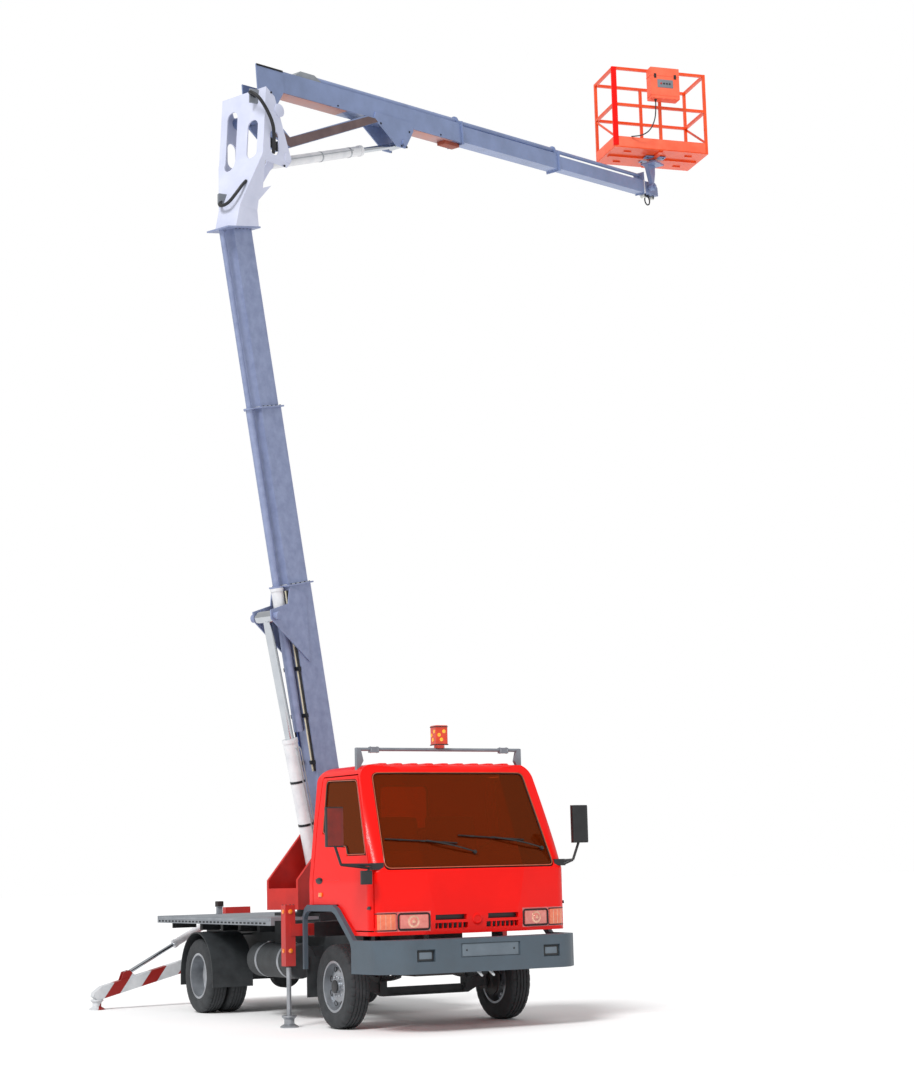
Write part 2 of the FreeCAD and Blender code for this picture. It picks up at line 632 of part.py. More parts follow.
def deck():
    low = DECK_TOP - DECK_THICKNESS
    hole = 5.0
    sheet = box(DECK_REAR_X, DECK_FRONT_X, -DECK_HALF_WIDTH, DECK_HALF_WIDTH, low, DECK_TOP)
    opening = box(SLEW_X - PEDESTAL_HALF_X - hole, DECK_FRONT_X + 1, -PEDESTAL_HALF_Y - hole,
                  PEDESTAL_HALF_Y + hole, low - 1, DECK_TOP + 1)
    parts = [sheet.cut(opening)]
    rail_low = DECK_TOP - DECK_RAIL_DEPTH
    for side in (-1, 1):
        y0, y1 = sorted((side * (DECK_HALF_WIDTH - 40), side * DECK_HALF_WIDTH))
        parts.append(box(DECK_REAR_X, DECK_FRONT_X, y0, y1, rail_low, low))
    parts.append(box(DECK_REAR_X, DECK_REAR_X + 40, -DECK_HALF_WIDTH, DECK_HALF_WIDTH, rail_low, low))
    for x in (-4300, -3700, -3210, -2700):
        parts.append(box(x - 20, x + 20, -DECK_HALF_WIDTH, DECK_HALF_WIDTH, rail_low, low))
    return fuse(parts + boom_rest())


def boom_rest():
    """Post that the stowed lower boom lies on, with a rubber saddle."""
    post = box(REST_X - 30, REST_X + 30, REST_Y - 25, REST_Y + 25, DECK_TOP, DECK_TOP + 80)
    saddle = box(REST_X - 45, REST_X + 45, REST_Y - 32, REST_Y + 32, DECK_TOP + 80, DECK_TOP + 137)
    return [post, saddle]


def ring_sector(centre_x, centre_z, inner, outer, start, end, y0, y1):
    """Part of a ring in the side view, between two angles in degrees."""
    def at(radius, degrees):
        a = math.radians(degrees)
        return V(centre_x + radius * math.cos(a), y0, centre_z + radius * math.sin(a))
    middle = (start + end) / 2
    edges = [
        Part.Arc(at(outer, start), at(outer, middle), at(outer, end)).toShape(),
        Part.LineSegment(at(outer, end), at(inner, end)).toShape(),
        Part.Arc(at(inner, end), at(inner, middle), at(inner, start)).toShape(),
        Part.LineSegment(at(inner, start), at(outer, start)).toShape(),
    ]
    return Part.Face(Part.Wire(edges)).extrude(V(0, y1 - y0, 0))


def mudguards():
    """Rear fenders over the twin wheels and the flaps behind the front wheels."""
    parts = [ring_sector(-WHEELBASE, WHEEL_Z, 440, 452, 0, 180, 560, 1010)]
    for side in (-1, 1):
        x0, x1 = sorted((-WHEELBASE + side * 440, -WHEELBASE + side * 452))
        parts.append(box(x0, x1, 560, 1010, FENDER_LOW, WHEEL_Z))
    stay = box(-WHEELBASE - 20, -WHEELBASE + 20, RAIL_OUTER_Y, 600, RAIL_TOP + 24, RAIL_TOP + 40)
    stay_post = box(-WHEELBASE - 20, -WHEELBASE + 20, 580, 600, RAIL_TOP + 24, WHEEL_Z + 446)
    fender = fuse(parts + [stay, stay_post])
    flap = box(FLAP_X - 5, FLAP_X + 5, 835, 1000, 270, 640)
    flap_stay = box(FLAP_X - 5, FLAP_X + 5, RAIL_OUTER_Y, 1000, 615, 640)
    flap = fuse([flap, flap_stay])
    return Part.makeCompound([fender, mirrored(fender), flap, mirrored(flap)])


# --- Cab ---
# columns of every cab outline: first coordinate, second coordinate, corner radius
SCREEN_LEAN = (CAB_FRONT_X - 10 - SCREEN_TOP_X) / (SCREEN_TOP_Z - CAB_BELT)
ROOF_FRONT_X = CAB_FRONT_X - 10 - SCREEN_LEAN * (CAB_ROOF - CAB_BELT)
CAB_SIDE_OUTLINE = [
    (CAB_REAR_X, CAB_FLOOR, 0), (245, CAB_FLOOR, 0), (585, CAB_BOTTOM, 0), (1045, CAB_BOTTOM, 0),
    (CAB_FRONT_X, 1000, 0), (CAB_FRONT_X - 10, CAB_BELT, 0), (ROOF_FRONT_X, CAB_ROOF, 120),
    (CAB_REAR_X + 3, CAB_ROOF, 110),
]
CAB_FRONT_OUTLINE = [
    (-CAB_HALF_WIDTH, CAB_BOTTOM - 10, 0), (CAB_HALF_WIDTH, CAB_BOTTOM - 10, 0),
    (CAB_HALF_WIDTH, 1330, 400), (CAB_HALF_WIDTH - 107, CAB_ROOF + 4, 150),
    (-CAB_HALF_WIDTH + 107, CAB_ROOF + 4, 150), (-CAB_HALF_WIDTH, 1330, 400),
]
CAB_CORNER_X = CAB_FRONT_X - 101
CAB_PLAN_OUTLINE = [
    (-450, -CAB_HALF_WIDTH, 0), (CAB_CORNER_X, -CAB_HALF_WIDTH, 130), (CAB_FRONT_X, -450, 900),
    (CAB_FRONT_X, 450, 900), (CAB_CORNER_X, CAB_HALF_WIDTH, 130), (-450, CAB_HALF_WIDTH, 0),
]
DOOR_FRONT_X = 939.0
HINGE_X = 930.0
HINGE_Y = 962.0
HINGE_PIN_RADIUS = 8.0
DOOR_OUTLINE = [
    (-285, 1112), (262, 1112), (604, 885), (DOOR_FRONT_X, 885), (DOOR_FRONT_X, 1400), (900, 1425),
    (512, 2290), (-235, 2296), (-285, 1900),
]
DOOR_WINDOW = [
    (-150, 1765), (-25, 1755), (10, 1645), (370, 1632), (405, 1555), (806, 1555), (508, 2225),
    (466, 2247), (-130, 2262), (-158, 2235),
]


def cab_hull(inset, side_inset=None):
    """Solid body of the cab, moved inwards by inset; side_inset is for its outline seen from the side."""
    if side_inset is None:
        side_inset = inset
    side = offset_prism(CAB_SIDE_OUTLINE, side_inset, "side", -1100, 1100)
    front = offset_prism(CAB_FRONT_OUTLINE, inset, "front", -800, 1400)
    plan = offset_prism(CAB_PLAN_OUTLINE, inset, "plan", CAB_BOTTOM - 100, CAB_BELT)
    corners = inset_outline(CAB_PLAN_OUTLINE, inset)
    top_face = rounded_face(corners, lambda a, b: V(a, b, CAB_BELT))
    leaning = top_face.extrude(V(-SCREEN_LEAN * 1100, 0, 1100))
    filler = box(-450 - SCREEN_LEAN * 1100, -400, -1100, 1100, CAB_BOTTOM, CAB_ROOF + 100)
    whole = plan.fuse([leaning, filler])
    return side.common(front).common(whole)


def cab_skin():
    return cab_hull(0).cut(cab_hull(CAB_WALL))


def windscreen_hole(inset):
    outline = [(-876, 1420, 40), (876, 1420, 40), (796, 2302, 60), (-796, 2302, 60)]
    return offset_prism(outline, inset, "front", 500, 1300)


def rear_window_hole():
    outline = [(-265, 1800, 60), (265, 1800, 60), (265, 2230, 60), (-265, 2230, 60)]
    return offset_prism(outline, 0, "front", CAB_REAR_X - 30, CAB_REAR_X + 120)


def door_slab(side, inset):
    """Stretch of the cab's wall inside the door outline, on one side."""
    y0, y1 = (700, 1100) if side > 0 else (-1100, -700)
    return offset_prism(DOOR_OUTLINE, inset, "side", y0, y1)


def door(side):
    """Door leaf: the cab's side wall only, with the lower hinge's pin under its front corner."""
    wall = cab_hull(0).cut(cab_hull(CAB_WALL, 0))
    leaf = wall.common(door_slab(side, DOOR_GAP))
    y0, y1 = sorted((side * 700, side * 1100))
    leaf = leaf.cut(offset_prism(DOOR_WINDOW, 0, "side", y0, y1))
    hinge_pin = rod(V(HINGE_X, side * HINGE_Y, 888), V(HINGE_X, side * HINGE_Y, 915), HINGE_PIN_RADIUS)
    return leaf.fuse(hinge_pin).removeSplitter()


def glass_sheet(inset_from_skin):
    """Thin sheet parallel to the cab's skin, inset from its outside."""
    return cab_hull(inset_from_skin).cut(cab_hull(inset_from_skin + GLASS_THICKNESS))


def door_glass(side):
    y0, y1 = sorted((side * 700, side * 1100))
    return glass_sheet(GLASS_INSET).common(offset_prism(DOOR_WINDOW, 0, "side", y0, y1))


def front_panel_zone():
    return box(DOOR_FRONT_X + 6, 1200, -1100, 1100, CAB_BOTTOM - 20, CAB_BELT - 4)


HEADLAMP_Y = (470.0, 775.0)
INDICATOR_Y = (779.0, 990.0)
LAMP_DEPTH = 38.0
HEADLAMP_Z = (882.0, 1054.0)


def lamp_zone(side, y_pair, proud):
    """Layer of the cab's skin that a lamp fills, from proud inside the surface to its back."""
    y0, y1 = sorted((side * y_pair[0], side * y_pair[1]))
    zone = box(DOOR_FRONT_X + 10, 1200, y0, y1, HEADLAMP_Z[0], HEADLAMP_Z[1])
    return zone.common(cab_hull(proud)).cut(cab_hull(LAMP_DEPTH))


def front_panel():
    panel = cab_skin().common(front_panel_zone())
    cuts = [lamp_zone(side, (HEADLAMP_Y[0], INDICATOR_Y[1]), 0) for side in (-1, 1)]
    for side in (-1, 1):
        for low, high, inner in ((898, 946, 95), (972, 1018, 110)):
            y0, y1 = sorted((side * inner, side * 425))
            cuts.append(box(980, 1200, y0, y1, low, high))
    return panel.cut(cuts)


def headlamps():
    """Lamp and indicator units, level with the panel round them."""
    lamps = []
    for side in (-1, 1):
        for pair in (HEADLAMP_Y, INDICATOR_Y):
            lamps.append(lamp_zone(side, pair, 2))
    return Part.makeCompound(lamps)


def cab_shell():
    holes = [front_panel_zone(), windscreen_hole(0), rear_window_hole(),
             door_slab(1, 0), door_slab(-1, 0)]
    return cab_skin().cut(holes)


def cab_windows():
    screen = glass_sheet(GLASS_INSET).common(windscreen_hole(0)).cut(box(-900, 560, -1000, 1000, 0, 3000))
    rear = glass_sheet(GLASS_INSET).common(rear_window_hole())
    return Part.makeCompound([screen, rear])


INNER_Y = CAB_HALF_WIDTH - CAB_WALL


def dashboard():
    outline = [(700, 1250), (980, 1150), (1060, 1150), (1060, 1450), (870, 1455), (720, 1420)]
    board = side_prism(outline, -INNER_Y + 95, INNER_Y - 95)
    leg = box(930, 1100, -760, 760, CAB_BOTTOM, 1200)
    board = fuse([board, leg]).common(cab_hull(CAB_WALL + SEAT_GAP))
    column_top = V(610, 420, 1490)
    column_base = V(860, 420, 1330)
    column = rod(column_base, column_top, 26)
    wheel = Part.makeTorus(215, 15, column_top, column_top - column_base)
    hub = rod(column_top - (column_top - column_base).normalize() * 8,
              column_top + (column_top - column_base).normalize() * 14, 60)
    spokes = []
    across = ALONG_Y
    for sign in (-1, 1):
        spokes.append(rod(column_top, column_top + across * sign * 212, 10))
    return fuse([board, column, wheel, hub] + spokes)


def seats():
    """Driver's seat and double passenger seat on the engine cover."""
    floor = CAB_FLOOR + CAB_WALL
    places = []
    for y0, y1 in ((140, 680), (-820, 60)):
        cushion = box(-150, 370, y0, y1, floor + 0.3, floor + 250)
        cushion = round_edges(cushion, ALONG_Y, 40)
        back = side_prism([(-160, floor + 200), (-50, floor + 200), (-150, floor + 800),
                           (-245, floor + 800)], y0 + 10, y1 - 10)
        places.append(fuse([cushion, back]))
    return Part.makeCompound(places)


BAR_X = 407.0
BAR_Z = 2520.0


def roof_bar():
    bar = rod(V(BAR_X, -868, BAR_Z), V(BAR_X, 868, BAR_Z), 16)
    feet = []
    for side in (-1, 1):
        feet.append(front_prism([(side * 868, BAR_Z + 12), (side * 828, BAR_Z + 12),
                                 (side * 800, 2415), (side * 838, 2348), (side * 868, 2326)],
                                BAR_X - 22, BAR_X + 22))
        y0, y1 = sorted((side * 640, side * 730))
        feet.append(box(BAR_X - 24, BAR_X + 24, y0, y1, BAR_Z - 30, BAR_Z + 22))
    return fuse([bar] + feet).cut(cab_hull(0))


def beacon():
    base = rod(V(BAR_X, 0, BAR_Z + 16.3), V(BAR_X, 0, BAR_Z + 40), 50)
    foot = box(BAR_X - 30, BAR_X + 30, -30, 30, BAR_Z + 14, BAR_Z + 20)
    lamp = round_edges(box(BAR_X - 62, BAR_X + 62, -62, 62, BAR_Z + 40, BAR_Z + 225), UP, 12)
    return fuse([base, foot.cut(rod(V(BAR_X, -100, BAR_Z), V(BAR_X, 100, BAR_Z), 16.3)), lamp])


MIRROR_X = 990.0
# columns: side, head centre's distance from the middle
MIRRORS = [(1, 1130.0), (-1, 1385.0)]
MIRROR_FOOT_X = 950.0


def mirrors():
    """Main mirror on both sides and a small low mirror on the passenger's side."""
    sides = []
    for side, reach in MIRRORS:
        foot = box(MIRROR_FOOT_X - 35, MIRROR_FOOT_X + 12, min(side * 880, side * 1000),
                   max(side * 880, side * 1000), 1425, 1485)
        elbow = V(MIRROR_X + 10, side * (reach - 70), 1475)
        head = box(MIRROR_X - 10, MIRROR_X + 60, side * reach - 82, side * reach + 82, 1630, 1975)
        parts = [
            foot,
            rod(V(MIRROR_FOOT_X, side * 985, 1470), elbow, 12),
            rod(V(MIRROR_FOOT_X, side * 985, 1438), elbow, 12),
            rod(elbow, V(MIRROR_X + 22, side * reach, 1660), 12),
            round_edges(head, UP, 25),
        ]
        if side < 0:
            parts.append(rod(V(MIRROR_FOOT_X, -990, 1450), V(MIRROR_X + 20, -1085, 1400), 10))
            low_head = box(MIRROR_X + 5, MIRROR_X + 55, -1135, -1030, 1300, 1420)
            parts.append(round_edges(low_head, UP, 18))
        sides.append(fuse(parts).cut(cab_hull(0)))
    return Part.makeCompound(sides)


def bumper_and_flares():
    """Hollow plastic bumper that wraps round the corners and runs up into the arch flares."""
    front = BUMPER_FRONT_X
    half = BUMPER_HALF_WIDTH
    plan = [
        (640, -half, 0), (front - 250, -half + 40, 250), (front - 28, -half + 230, 250),
        (front, -300, 600), (front, 300, 600), (front - 28, half - 230, 250),
        (front - 250, half - 40, 250), (640, half, 0),
    ]
    shell = offset_prism(plan, 0, "plan", BUMPER_LOW, BUMPER_HIGH)
    open_back = [(600, plan[0][1], 0)] + plan[1:-1] + [(600, plan[-1][1], 0)]
    hollow = offset_prism(open_back, BUMPER_WALL, "plan", BUMPER_LOW - 1, BUMPER_HIGH - 30)
    behind = box(500, 660, -half + BUMPER_WALL, half - BUMPER_WALL, BUMPER_LOW - 1, BUMPER_HIGH - 30)
    throat = offset_prism(CAB_PLAN_OUTLINE, -6, "plan", BUMPER_HIGH - 40, BUMPER_HIGH + 1)
    recesses = [box(front - 12, front + 1, -300, 300, 648, 770)]
    for side in (-1, 1):
        y0, y1 = sorted((side * 550, side * 725))
        recesses.append(box(front - 45, front + 1, y0, y1, 622, 728))
    bumper = shell.cut([hollow, behind, throat] + recesses)
    outer = [(-440, 530), (-440, 1010), (-395, 1090), (-330, 1120), (215, 1120), (300, 1085),
             (640, 815), (720, 790), (720, 600), (640, 600)]
    inner = [(-405, 530), (-405, 990), (-375, 1040), (-320, 1062), (200, 1062), (270, 1035),
             (575, 790), (600, 730), (640, 600)]
    band = side_prism(outer + inner[::-1], CAB_HALF_WIDTH, CAB_HALF_WIDTH + 40)
    parts = [bumper, band, mirrored(band)]
    return fuse(parts)


# --- Outriggers ---
def foot_at(x, y):
    """Spool-shaped foot standing on the ground."""
    profile = [(0, 0), (FOOT_RADIUS, 0), (FOOT_RADIUS, 12), (48, 34), (48, FOOT_HEIGHT - 34),
               (70, FOOT_HEIGHT - 14), (70, FOOT_HEIGHT), (0, FOOT_HEIGHT)]
    return revolve(profile, V(x, y, 0), UP)


def front_beam():
    """Left sliding beam with the upright jack tube on its end."""
    half = FRONT_BEAM_SIZE / 2
    beam = box(FRONT_BEAM_X - half, FRONT_BEAM_X + half, 350, FRONT_JACK_Y,
               FRONT_BEAM_Z - half, FRONT_BEAM_Z + half)
    hollow = box(FRONT_BEAM_X - half + 8, FRONT_BEAM_X + half - 8, 349, FRONT_JACK_Y - 60,
                 FRONT_BEAM_Z - half + 8, FRONT_BEAM_Z + half - 8)
    size = JACK_TUBE_SIZE / 2
    tube_out = box(FRONT_BEAM_X - size, FRONT_BEAM_X + size, FRONT_JACK_Y - size,
                   FRONT_JACK_Y + size, JACK_TUBE_LOW, JACK_TUBE_HIGH)
    bore = rod(V(FRONT_BEAM_X, FRONT_JACK_Y, JACK_TUBE_LOW - 1),
               V(FRONT_BEAM_X, FRONT_JACK_Y, JACK_TUBE_HIGH - 12), JACK_ROD_RADIUS + PIN_CLEARANCE)
    return fuse([beam.cut(hollow), tube_out]).cut(bore)


def front_jack():
    leg = rod(V(FRONT_BEAM_X, FRONT_JACK_Y, FOOT_HEIGHT - 1),
              V(FRONT_BEAM_X, FRONT_JACK_Y, FOOT_HEIGHT + 580), JACK_ROD_RADIUS)
    return fuse([foot_at(FRONT_BEAM_X, FRONT_JACK_Y), leg])


ARM_LENGTH = math.hypot(REAR_FOOT_Y - REAR_ARM_PIVOT_Y, REAR_ARM_PIVOT_Z - FOOT_HEIGHT - 60)
ARM_SLOPE = math.atan2(REAR_ARM_PIVOT_Z - FOOT_HEIGHT - 60, REAR_FOOT_Y - REAR_ARM_PIVOT_Y)
RAM_EYE_RISE = REAR_ARM_DEPTH / 2 + 45


def arm_point(along, above):
    """(y, z) of a point on the left rear arm, along it and above its centre line."""
    return (REAR_ARM_PIVOT_Y + along * math.cos(ARM_SLOPE) + above * math.sin(ARM_SLOPE),
            REAR_ARM_PIVOT_Z - along * math.sin(ARM_SLOPE) + above * math.cos(ARM_SLOPE))


RAM_EYE_Y, RAM_EYE_Z = arm_point(REAR_RAM_REACH, RAM_EYE_RISE)


def rear_arm():
    """Left swinging arm: a tapered box beam with ram lugs and a foot at its end."""
    half_w = REAR_ARM_WIDTH / 2
    half_d = REAR_ARM_DEPTH / 2
    beam = front_prism([arm_point(-40, half_d * 0.6), arm_point(80, half_d), arm_point(ARM_LENGTH - 60, half_d),
                        arm_point(ARM_LENGTH + 40, half_d * 0.4), arm_point(ARM_LENGTH + 60, -half_d * 0.2),
                        arm_point(ARM_LENGTH + 20, -half_d), arm_point(60, -half_d),
                        arm_point(-40, -half_d * 0.6)], REAR_ARM_X - half_w, REAR_ARM_X + half_w)
    hollow = front_prism([arm_point(140, half_d - 8), arm_point(ARM_LENGTH - 120, half_d - 8),
                          arm_point(ARM_LENGTH - 120, -half_d + 8), arm_point(140, -half_d + 8)],
                         REAR_ARM_X - half_w + 8, REAR_ARM_X + half_w - 8)
    bore = rod(V(REAR_ARM_X - half_w - 1, REAR_ARM_PIVOT_Y, REAR_ARM_PIVOT_Z),
               V(REAR_ARM_X + half_w + 1, REAR_ARM_PIVOT_Y, REAR_ARM_PIVOT_Z), 22 + PIN_CLEARANCE)
    lugs = []
    for side in (-1, 1):
        x0 = REAR_ARM_X + side * 32
        x1 = REAR_ARM_X + side * 44
        lugs.append(front_prism([arm_point(REAR_RAM_REACH - 90, half_d - 2),
                                 arm_point(REAR_RAM_REACH - 35, RAM_EYE_RISE + 32),
                                 arm_point(REAR_RAM_REACH + 35, RAM_EYE_RISE + 32),
                                 arm_point(REAR_RAM_REACH + 90, half_d - 2)], min(x0, x1), max(x0, x1)))
    ankle = rod(V(REAR_ARM_X, REAR_FOOT_Y, FOOT_HEIGHT - 1), V(REAR_ARM_X, REAR_FOOT_Y, FOOT_HEIGHT + 30), 35)
    body = fuse([beam.cut(hollow).cut(bore)] + lugs)
    return fuse([body, foot_at(REAR_ARM_X, REAR_FOOT_Y), ankle])


def ram_barrel(length, outer, bore_radius, eye_radius, eye_width, gland_radius):
    """Cylinder barrel along X from its base eye at the origin, open at its gland."""
    body_start = eye_radius * 0.8
    tube_part = Part.makeCylinder(outer, length - RAM_GLAND - body_start, V(body_start, 0, 0), ALONG_X)
    hollow = Part.makeCylinder(bore_radius, length, V(eye_radius + 15, 0, 0), ALONG_X)
    gland = Part.makeCylinder(outer + 6, RAM_GLAND, V(length - RAM_GLAND, 0, 0), ALONG_X)
    gland_hole = Part.makeCylinder(gland_radius, 200, V(length - 120, 0, 0), ALONG_X)
    eye = rod(V(0, -eye_width / 2, 0), V(0, eye_width / 2, 0), eye_radius)
    return fuse([tube_part.cut(hollow), gland.cut(gland_hole), eye])


def ram_rod(start, reach, radius, piston_radius, eye_radius, eye_width):
    """Cylinder rod along X from its piston at start to its eye at reach."""
    shaft = Part.makeCylinder(radius, reach - start - eye_radius / 2, V(start, 0, 0), ALONG_X)
    piston = Part.makeCylinder(piston_radius, RAM_PISTON, V(start, 0, 0), ALONG_X)
    eye = rod(V(reach, -eye_width / 2, 0), V(reach, eye_width / 2, 0), eye_radius)
    return fuse([shaft, piston, eye])


# Hydraulic rams with their lengths, from the base eye's centre.
# columns: barrel outer radius, bore radius, rod radius, barrel length, eye radius
LIFT_RAM = (75.0, 63.0, 45.0, 1440.0, 60.0)
UPPER_RAM = (55.0, 46.0, 30.0, 1620.0, 42.0)
REAR_RAM = (42.0, 34.0, 22.0, 725.0, 30.0)
RAM_GLAND = 40.0
RAM_PISTON = 30.0
LIFT_ROD_START = 1315.0
UPPER_ROD_START = 1110.0
REAR_ROD_START = 645.0


def make_ram(table, reach, rod_start, base_bore, base_width, eye_width):
    """Barrel and rod along X, the barrel's base eye bored for its pin."""
    outer, bore_radius, rod_radius, length, eye_radius = table
    barrel = ram_barrel(length, outer, bore_radius, eye_radius, base_width, rod_radius + PIN_CLEARANCE)
    barrel = barrel.cut(rod(V(0, -base_width, 0), V(0, base_width, 0), base_bore + PIN_CLEARANCE))
    piston = ram_rod(rod_start, reach, rod_radius, bore_radius - PIN_CLEARANCE, eye_radius, eye_width)
    return barrel, piston


def rear_ram():
    reach = math.hypot(RAM_EYE_Y - REAR_RAM_BASE_Y, RAM_EYE_Z - REAR_RAM_BASE_Z)
    angle = math.degrees(math.atan2(RAM_EYE_Z - REAR_RAM_BASE_Z, RAM_EYE_Y - REAR_RAM_BASE_Y))
    placed = []
    for piece in make_ram(REAR_RAM, reach, REAR_ROD_START, 18, 50, 62):
        piece.rotate(V(0, 0, 0), UP, 90)
        piece.rotate(V(0, 0, 0), ALONG_X, angle)
        piece.translate(V(REAR_ARM_X, REAR_RAM_BASE_Y, REAR_RAM_BASE_Z))
        placed.append(piece)
    return placed


# --- Turret ---
LOWER_PIN_RADIUS = 35.0
LIFT_PIN_RADIUS = 30.0


def turret():
    base_top = TURRET_BASE_Z + 30
    inner = TURRET_GAP / 2
    outer = inner + TURRET_PLATE
    outline = [(-800, TURRET_BASE_Z), (-800, 1350), (-270, 1840), (-172, 2130), (-105, 2390), (0, 2465),
               (100, 2480), (240, 2442), (345, 2340), (380, 2200), (420, 1800), (450, TURRET_BASE_Z)]
    plate = side_prism(outline, inner, outer)
    floor = box(-800, 450, -outer, outer, TURRET_BASE_Z, base_top)
    back = box(-800, -780, -outer, outer, TURRET_BASE_Z, 1270)
    front = side_prism([(430, TURRET_BASE_Z), (450, TURRET_BASE_Z), (425, 1700), (405, 1700)], -outer, outer)
    shelf = box(-790, 440, -inner, inner, 1150, 1165)
    hub = Part.makeCylinder(380, 12, V(0, 0, TURRET_BASE_Z))
    pins = [
        rod(V(LOWER_PIVOT_R, -outer - 20, LOWER_PIVOT_Z), V(LOWER_PIVOT_R, outer + 20, LOWER_PIVOT_Z),
            LOWER_PIN_RADIUS),
        rod(V(LIFT_BASE_R, -outer - 12, LIFT_BASE_Z), V(LIFT_BASE_R, outer + 12, LIFT_BASE_Z),
            LIFT_PIN_RADIUS),
    ]
    return to_truck(fuse([plate, mirrored(plate), floor, back, front, shelf, hub] + pins))


def collar(mouth, depth, width, mouth_depth, mouth_width, conduit_z, conduit_outer, conduit_bore, centre):
    """Flange round a section's mouth, with a ring that guides the next conduit."""
    rim = 24.0
    plate = box(mouth - COLLAR_THICKNESS, mouth, -width / 2 - rim, width / 2 + rim,
                centre - depth / 2 - rim, centre + depth / 2 + rim)
    bulge = Part.makeCylinder(conduit_outer + 20, COLLAR_THICKNESS, V(mouth - COLLAR_THICKNESS, 0, conduit_z),
                              ALONG_X)
    neck = box(mouth - COLLAR_THICKNESS, mouth, -conduit_outer - 20, conduit_outer + 20,
               min(centre, conduit_z), max(centre, conduit_z))
    pad = box(mouth - 90, mouth, -width / 2 + 1, width / 2 - 1, centre - depth / 2 + 1, centre + depth / 2 - 1)
    clear = PAD_CLEARANCE
    opening = box(mouth - 200, mouth + 10, -mouth_width / 2 - clear, mouth_width / 2 + clear,
                  centre - mouth_depth / 2 - clear, centre + mouth_depth / 2 + clear)
    conduit_hole = Part.makeCylinder(conduit_bore + clear, 100, V(mouth - 90, 0, conduit_z), ALONG_X)
    return fuse([plate, bulge, neck, pad]).cut([opening, conduit_hole])


def telescope(sections, index, centre, conduit_z, tail, mouth):
    """One section of a telescopic boom along X, with its collar, tail pads and conduit."""
    name, depth, width, wall, conduit_outer, conduit_wall = sections[index]
    parts = [solid_box_tube(tail, mouth, width, depth, wall, centre)]
    if index + 1 < len(sections):
        nested = sections[index + 1]
        parts.append(collar(mouth, depth, width, nested[1], nested[2], conduit_z, conduit_outer,
                            nested[4], centre))
    if index > 0:
        host = sections[index - 1]
        host_depth = host[1] - 2 * host[3] - 2 * PAD_CLEARANCE
        host_width = host[2] - 2 * host[3] - 2 * PAD_CLEARANCE
        pad = solid_box_tube(tail, tail + 80, host_width, host_depth, (host_width - width) / 2 + 1, centre)
        parts.append(pad)
    return parts


def conduit(radius, wall, start, end, conduit_z):
    return tube(V(start, 0, conduit_z), V(end, 0, conduit_z), radius, radius - wall)


def section_ends(outer_tail, outer_mouth, exposed):
    """(tail, mouth) of the three sections, drawn out as they stand at rest."""
    ends = [(outer_tail, outer_mouth)]
    for index in (1, 2):
        mouth = outer_mouth + index * exposed
        ends.append((ends[index - 1][1] - SECTION_OVERLAP, mouth))
    return ends


LOWER_ENDS = section_ends(LOWER_OUTER_TAIL, LOWER_OUTER_MOUTH, LOWER_EXPOSED)
UPPER_ENDS = section_ends(UPPER_OUTER_TAIL, UPPER_OUTER_MOUTH, UPPER_EXPOSED)
LOWER_CONDUIT_Z = LOWER_DROP + LOWER_CONDUIT_OFFSET
UPPER_CONDUIT_Z = UPPER_RISE + UPPER_CONDUIT_OFFSET


def place_lower(shape):
    return to_truck(tilted(shape, LOWER_REST, LOWER_PIVOT_R, LOWER_PIVOT_Z))


def place_upper(shape):
    return to_truck(tilted(shape, UPPER_REST, ELBOW_R, ELBOW_Z))


GUSSET_PLATE = 14.0
LIFT_EYE_WIDTH = 200.0


def lower_boom_outer():
    tail, mouth = LOWER_ENDS[0]
    half_width = LOWER_SECTIONS[0][2] / 2
    parts = telescope(LOWER_SECTIONS, 0, LOWER_DROP, LOWER_CONDUIT_Z, tail, mouth)
    parts.append(conduit(LOWER_SECTIONS[0][4], LOWER_SECTIONS[0][5], CONDUIT_START, mouth, LOWER_CONDUIT_Z))
    belly = LOWER_DROP + LOWER_SECTIONS[0][1] / 2
    for s in (CONDUIT_START + 60, (CONDUIT_START + mouth) / 2):
        parts.append(box(s - 20, s + 20, -30, 30, belly - 2, LOWER_CONDUIT_Z - LOWER_SECTIONS[0][4] + 2))
    lug = [(tail, LOWER_DROP), (tail, 20), (-70, -70), (0, -95), (70, -70), (260, 110), (260, LOWER_DROP)]
    gusset = [(1430, LOWER_DROP + 40), (1930, LIFT_PIN_DROP + 70), (2020, LIFT_PIN_DROP + 60),
              (2050, belly + 60), (mouth - COLLAR_THICKNESS, belly), (2120, LOWER_DROP - 60)]
    for side in (-1, 1):
        y0, y1 = sorted((side * half_width, side * (half_width + 24)))
        parts.append(side_prism(lug, y0, y1))
        y0, y1 = sorted((side * half_width, side * (half_width + GUSSET_PLATE)))
        parts.append(side_prism(gusset, y0, y1))
        y0, y1 = sorted((side * (half_width + GUSSET_PLATE), side * (half_width + 70)))
        parts.append(rod(V(LIFT_PIN_S, y0, LIFT_PIN_DROP), V(LIFT_PIN_S, y1, LIFT_PIN_DROP), 42))
    hub_end = TURRET_GAP / 2 - 3
    hub = rod(V(0, -hub_end, 0), V(0, hub_end, 0), 62)
    pin_hole = rod(V(0, -300, 0), V(0, 300, 0), LOWER_PIN_RADIUS + PIN_CLEARANCE)
    parts.append(hub)
    parts.append(box(-60, 60, -half_width + 1, half_width - 1, 40, LOWER_DROP - LOWER_SECTIONS[0][1] / 2 + 2))
    return place_lower(fuse(parts).cut(pin_hole))


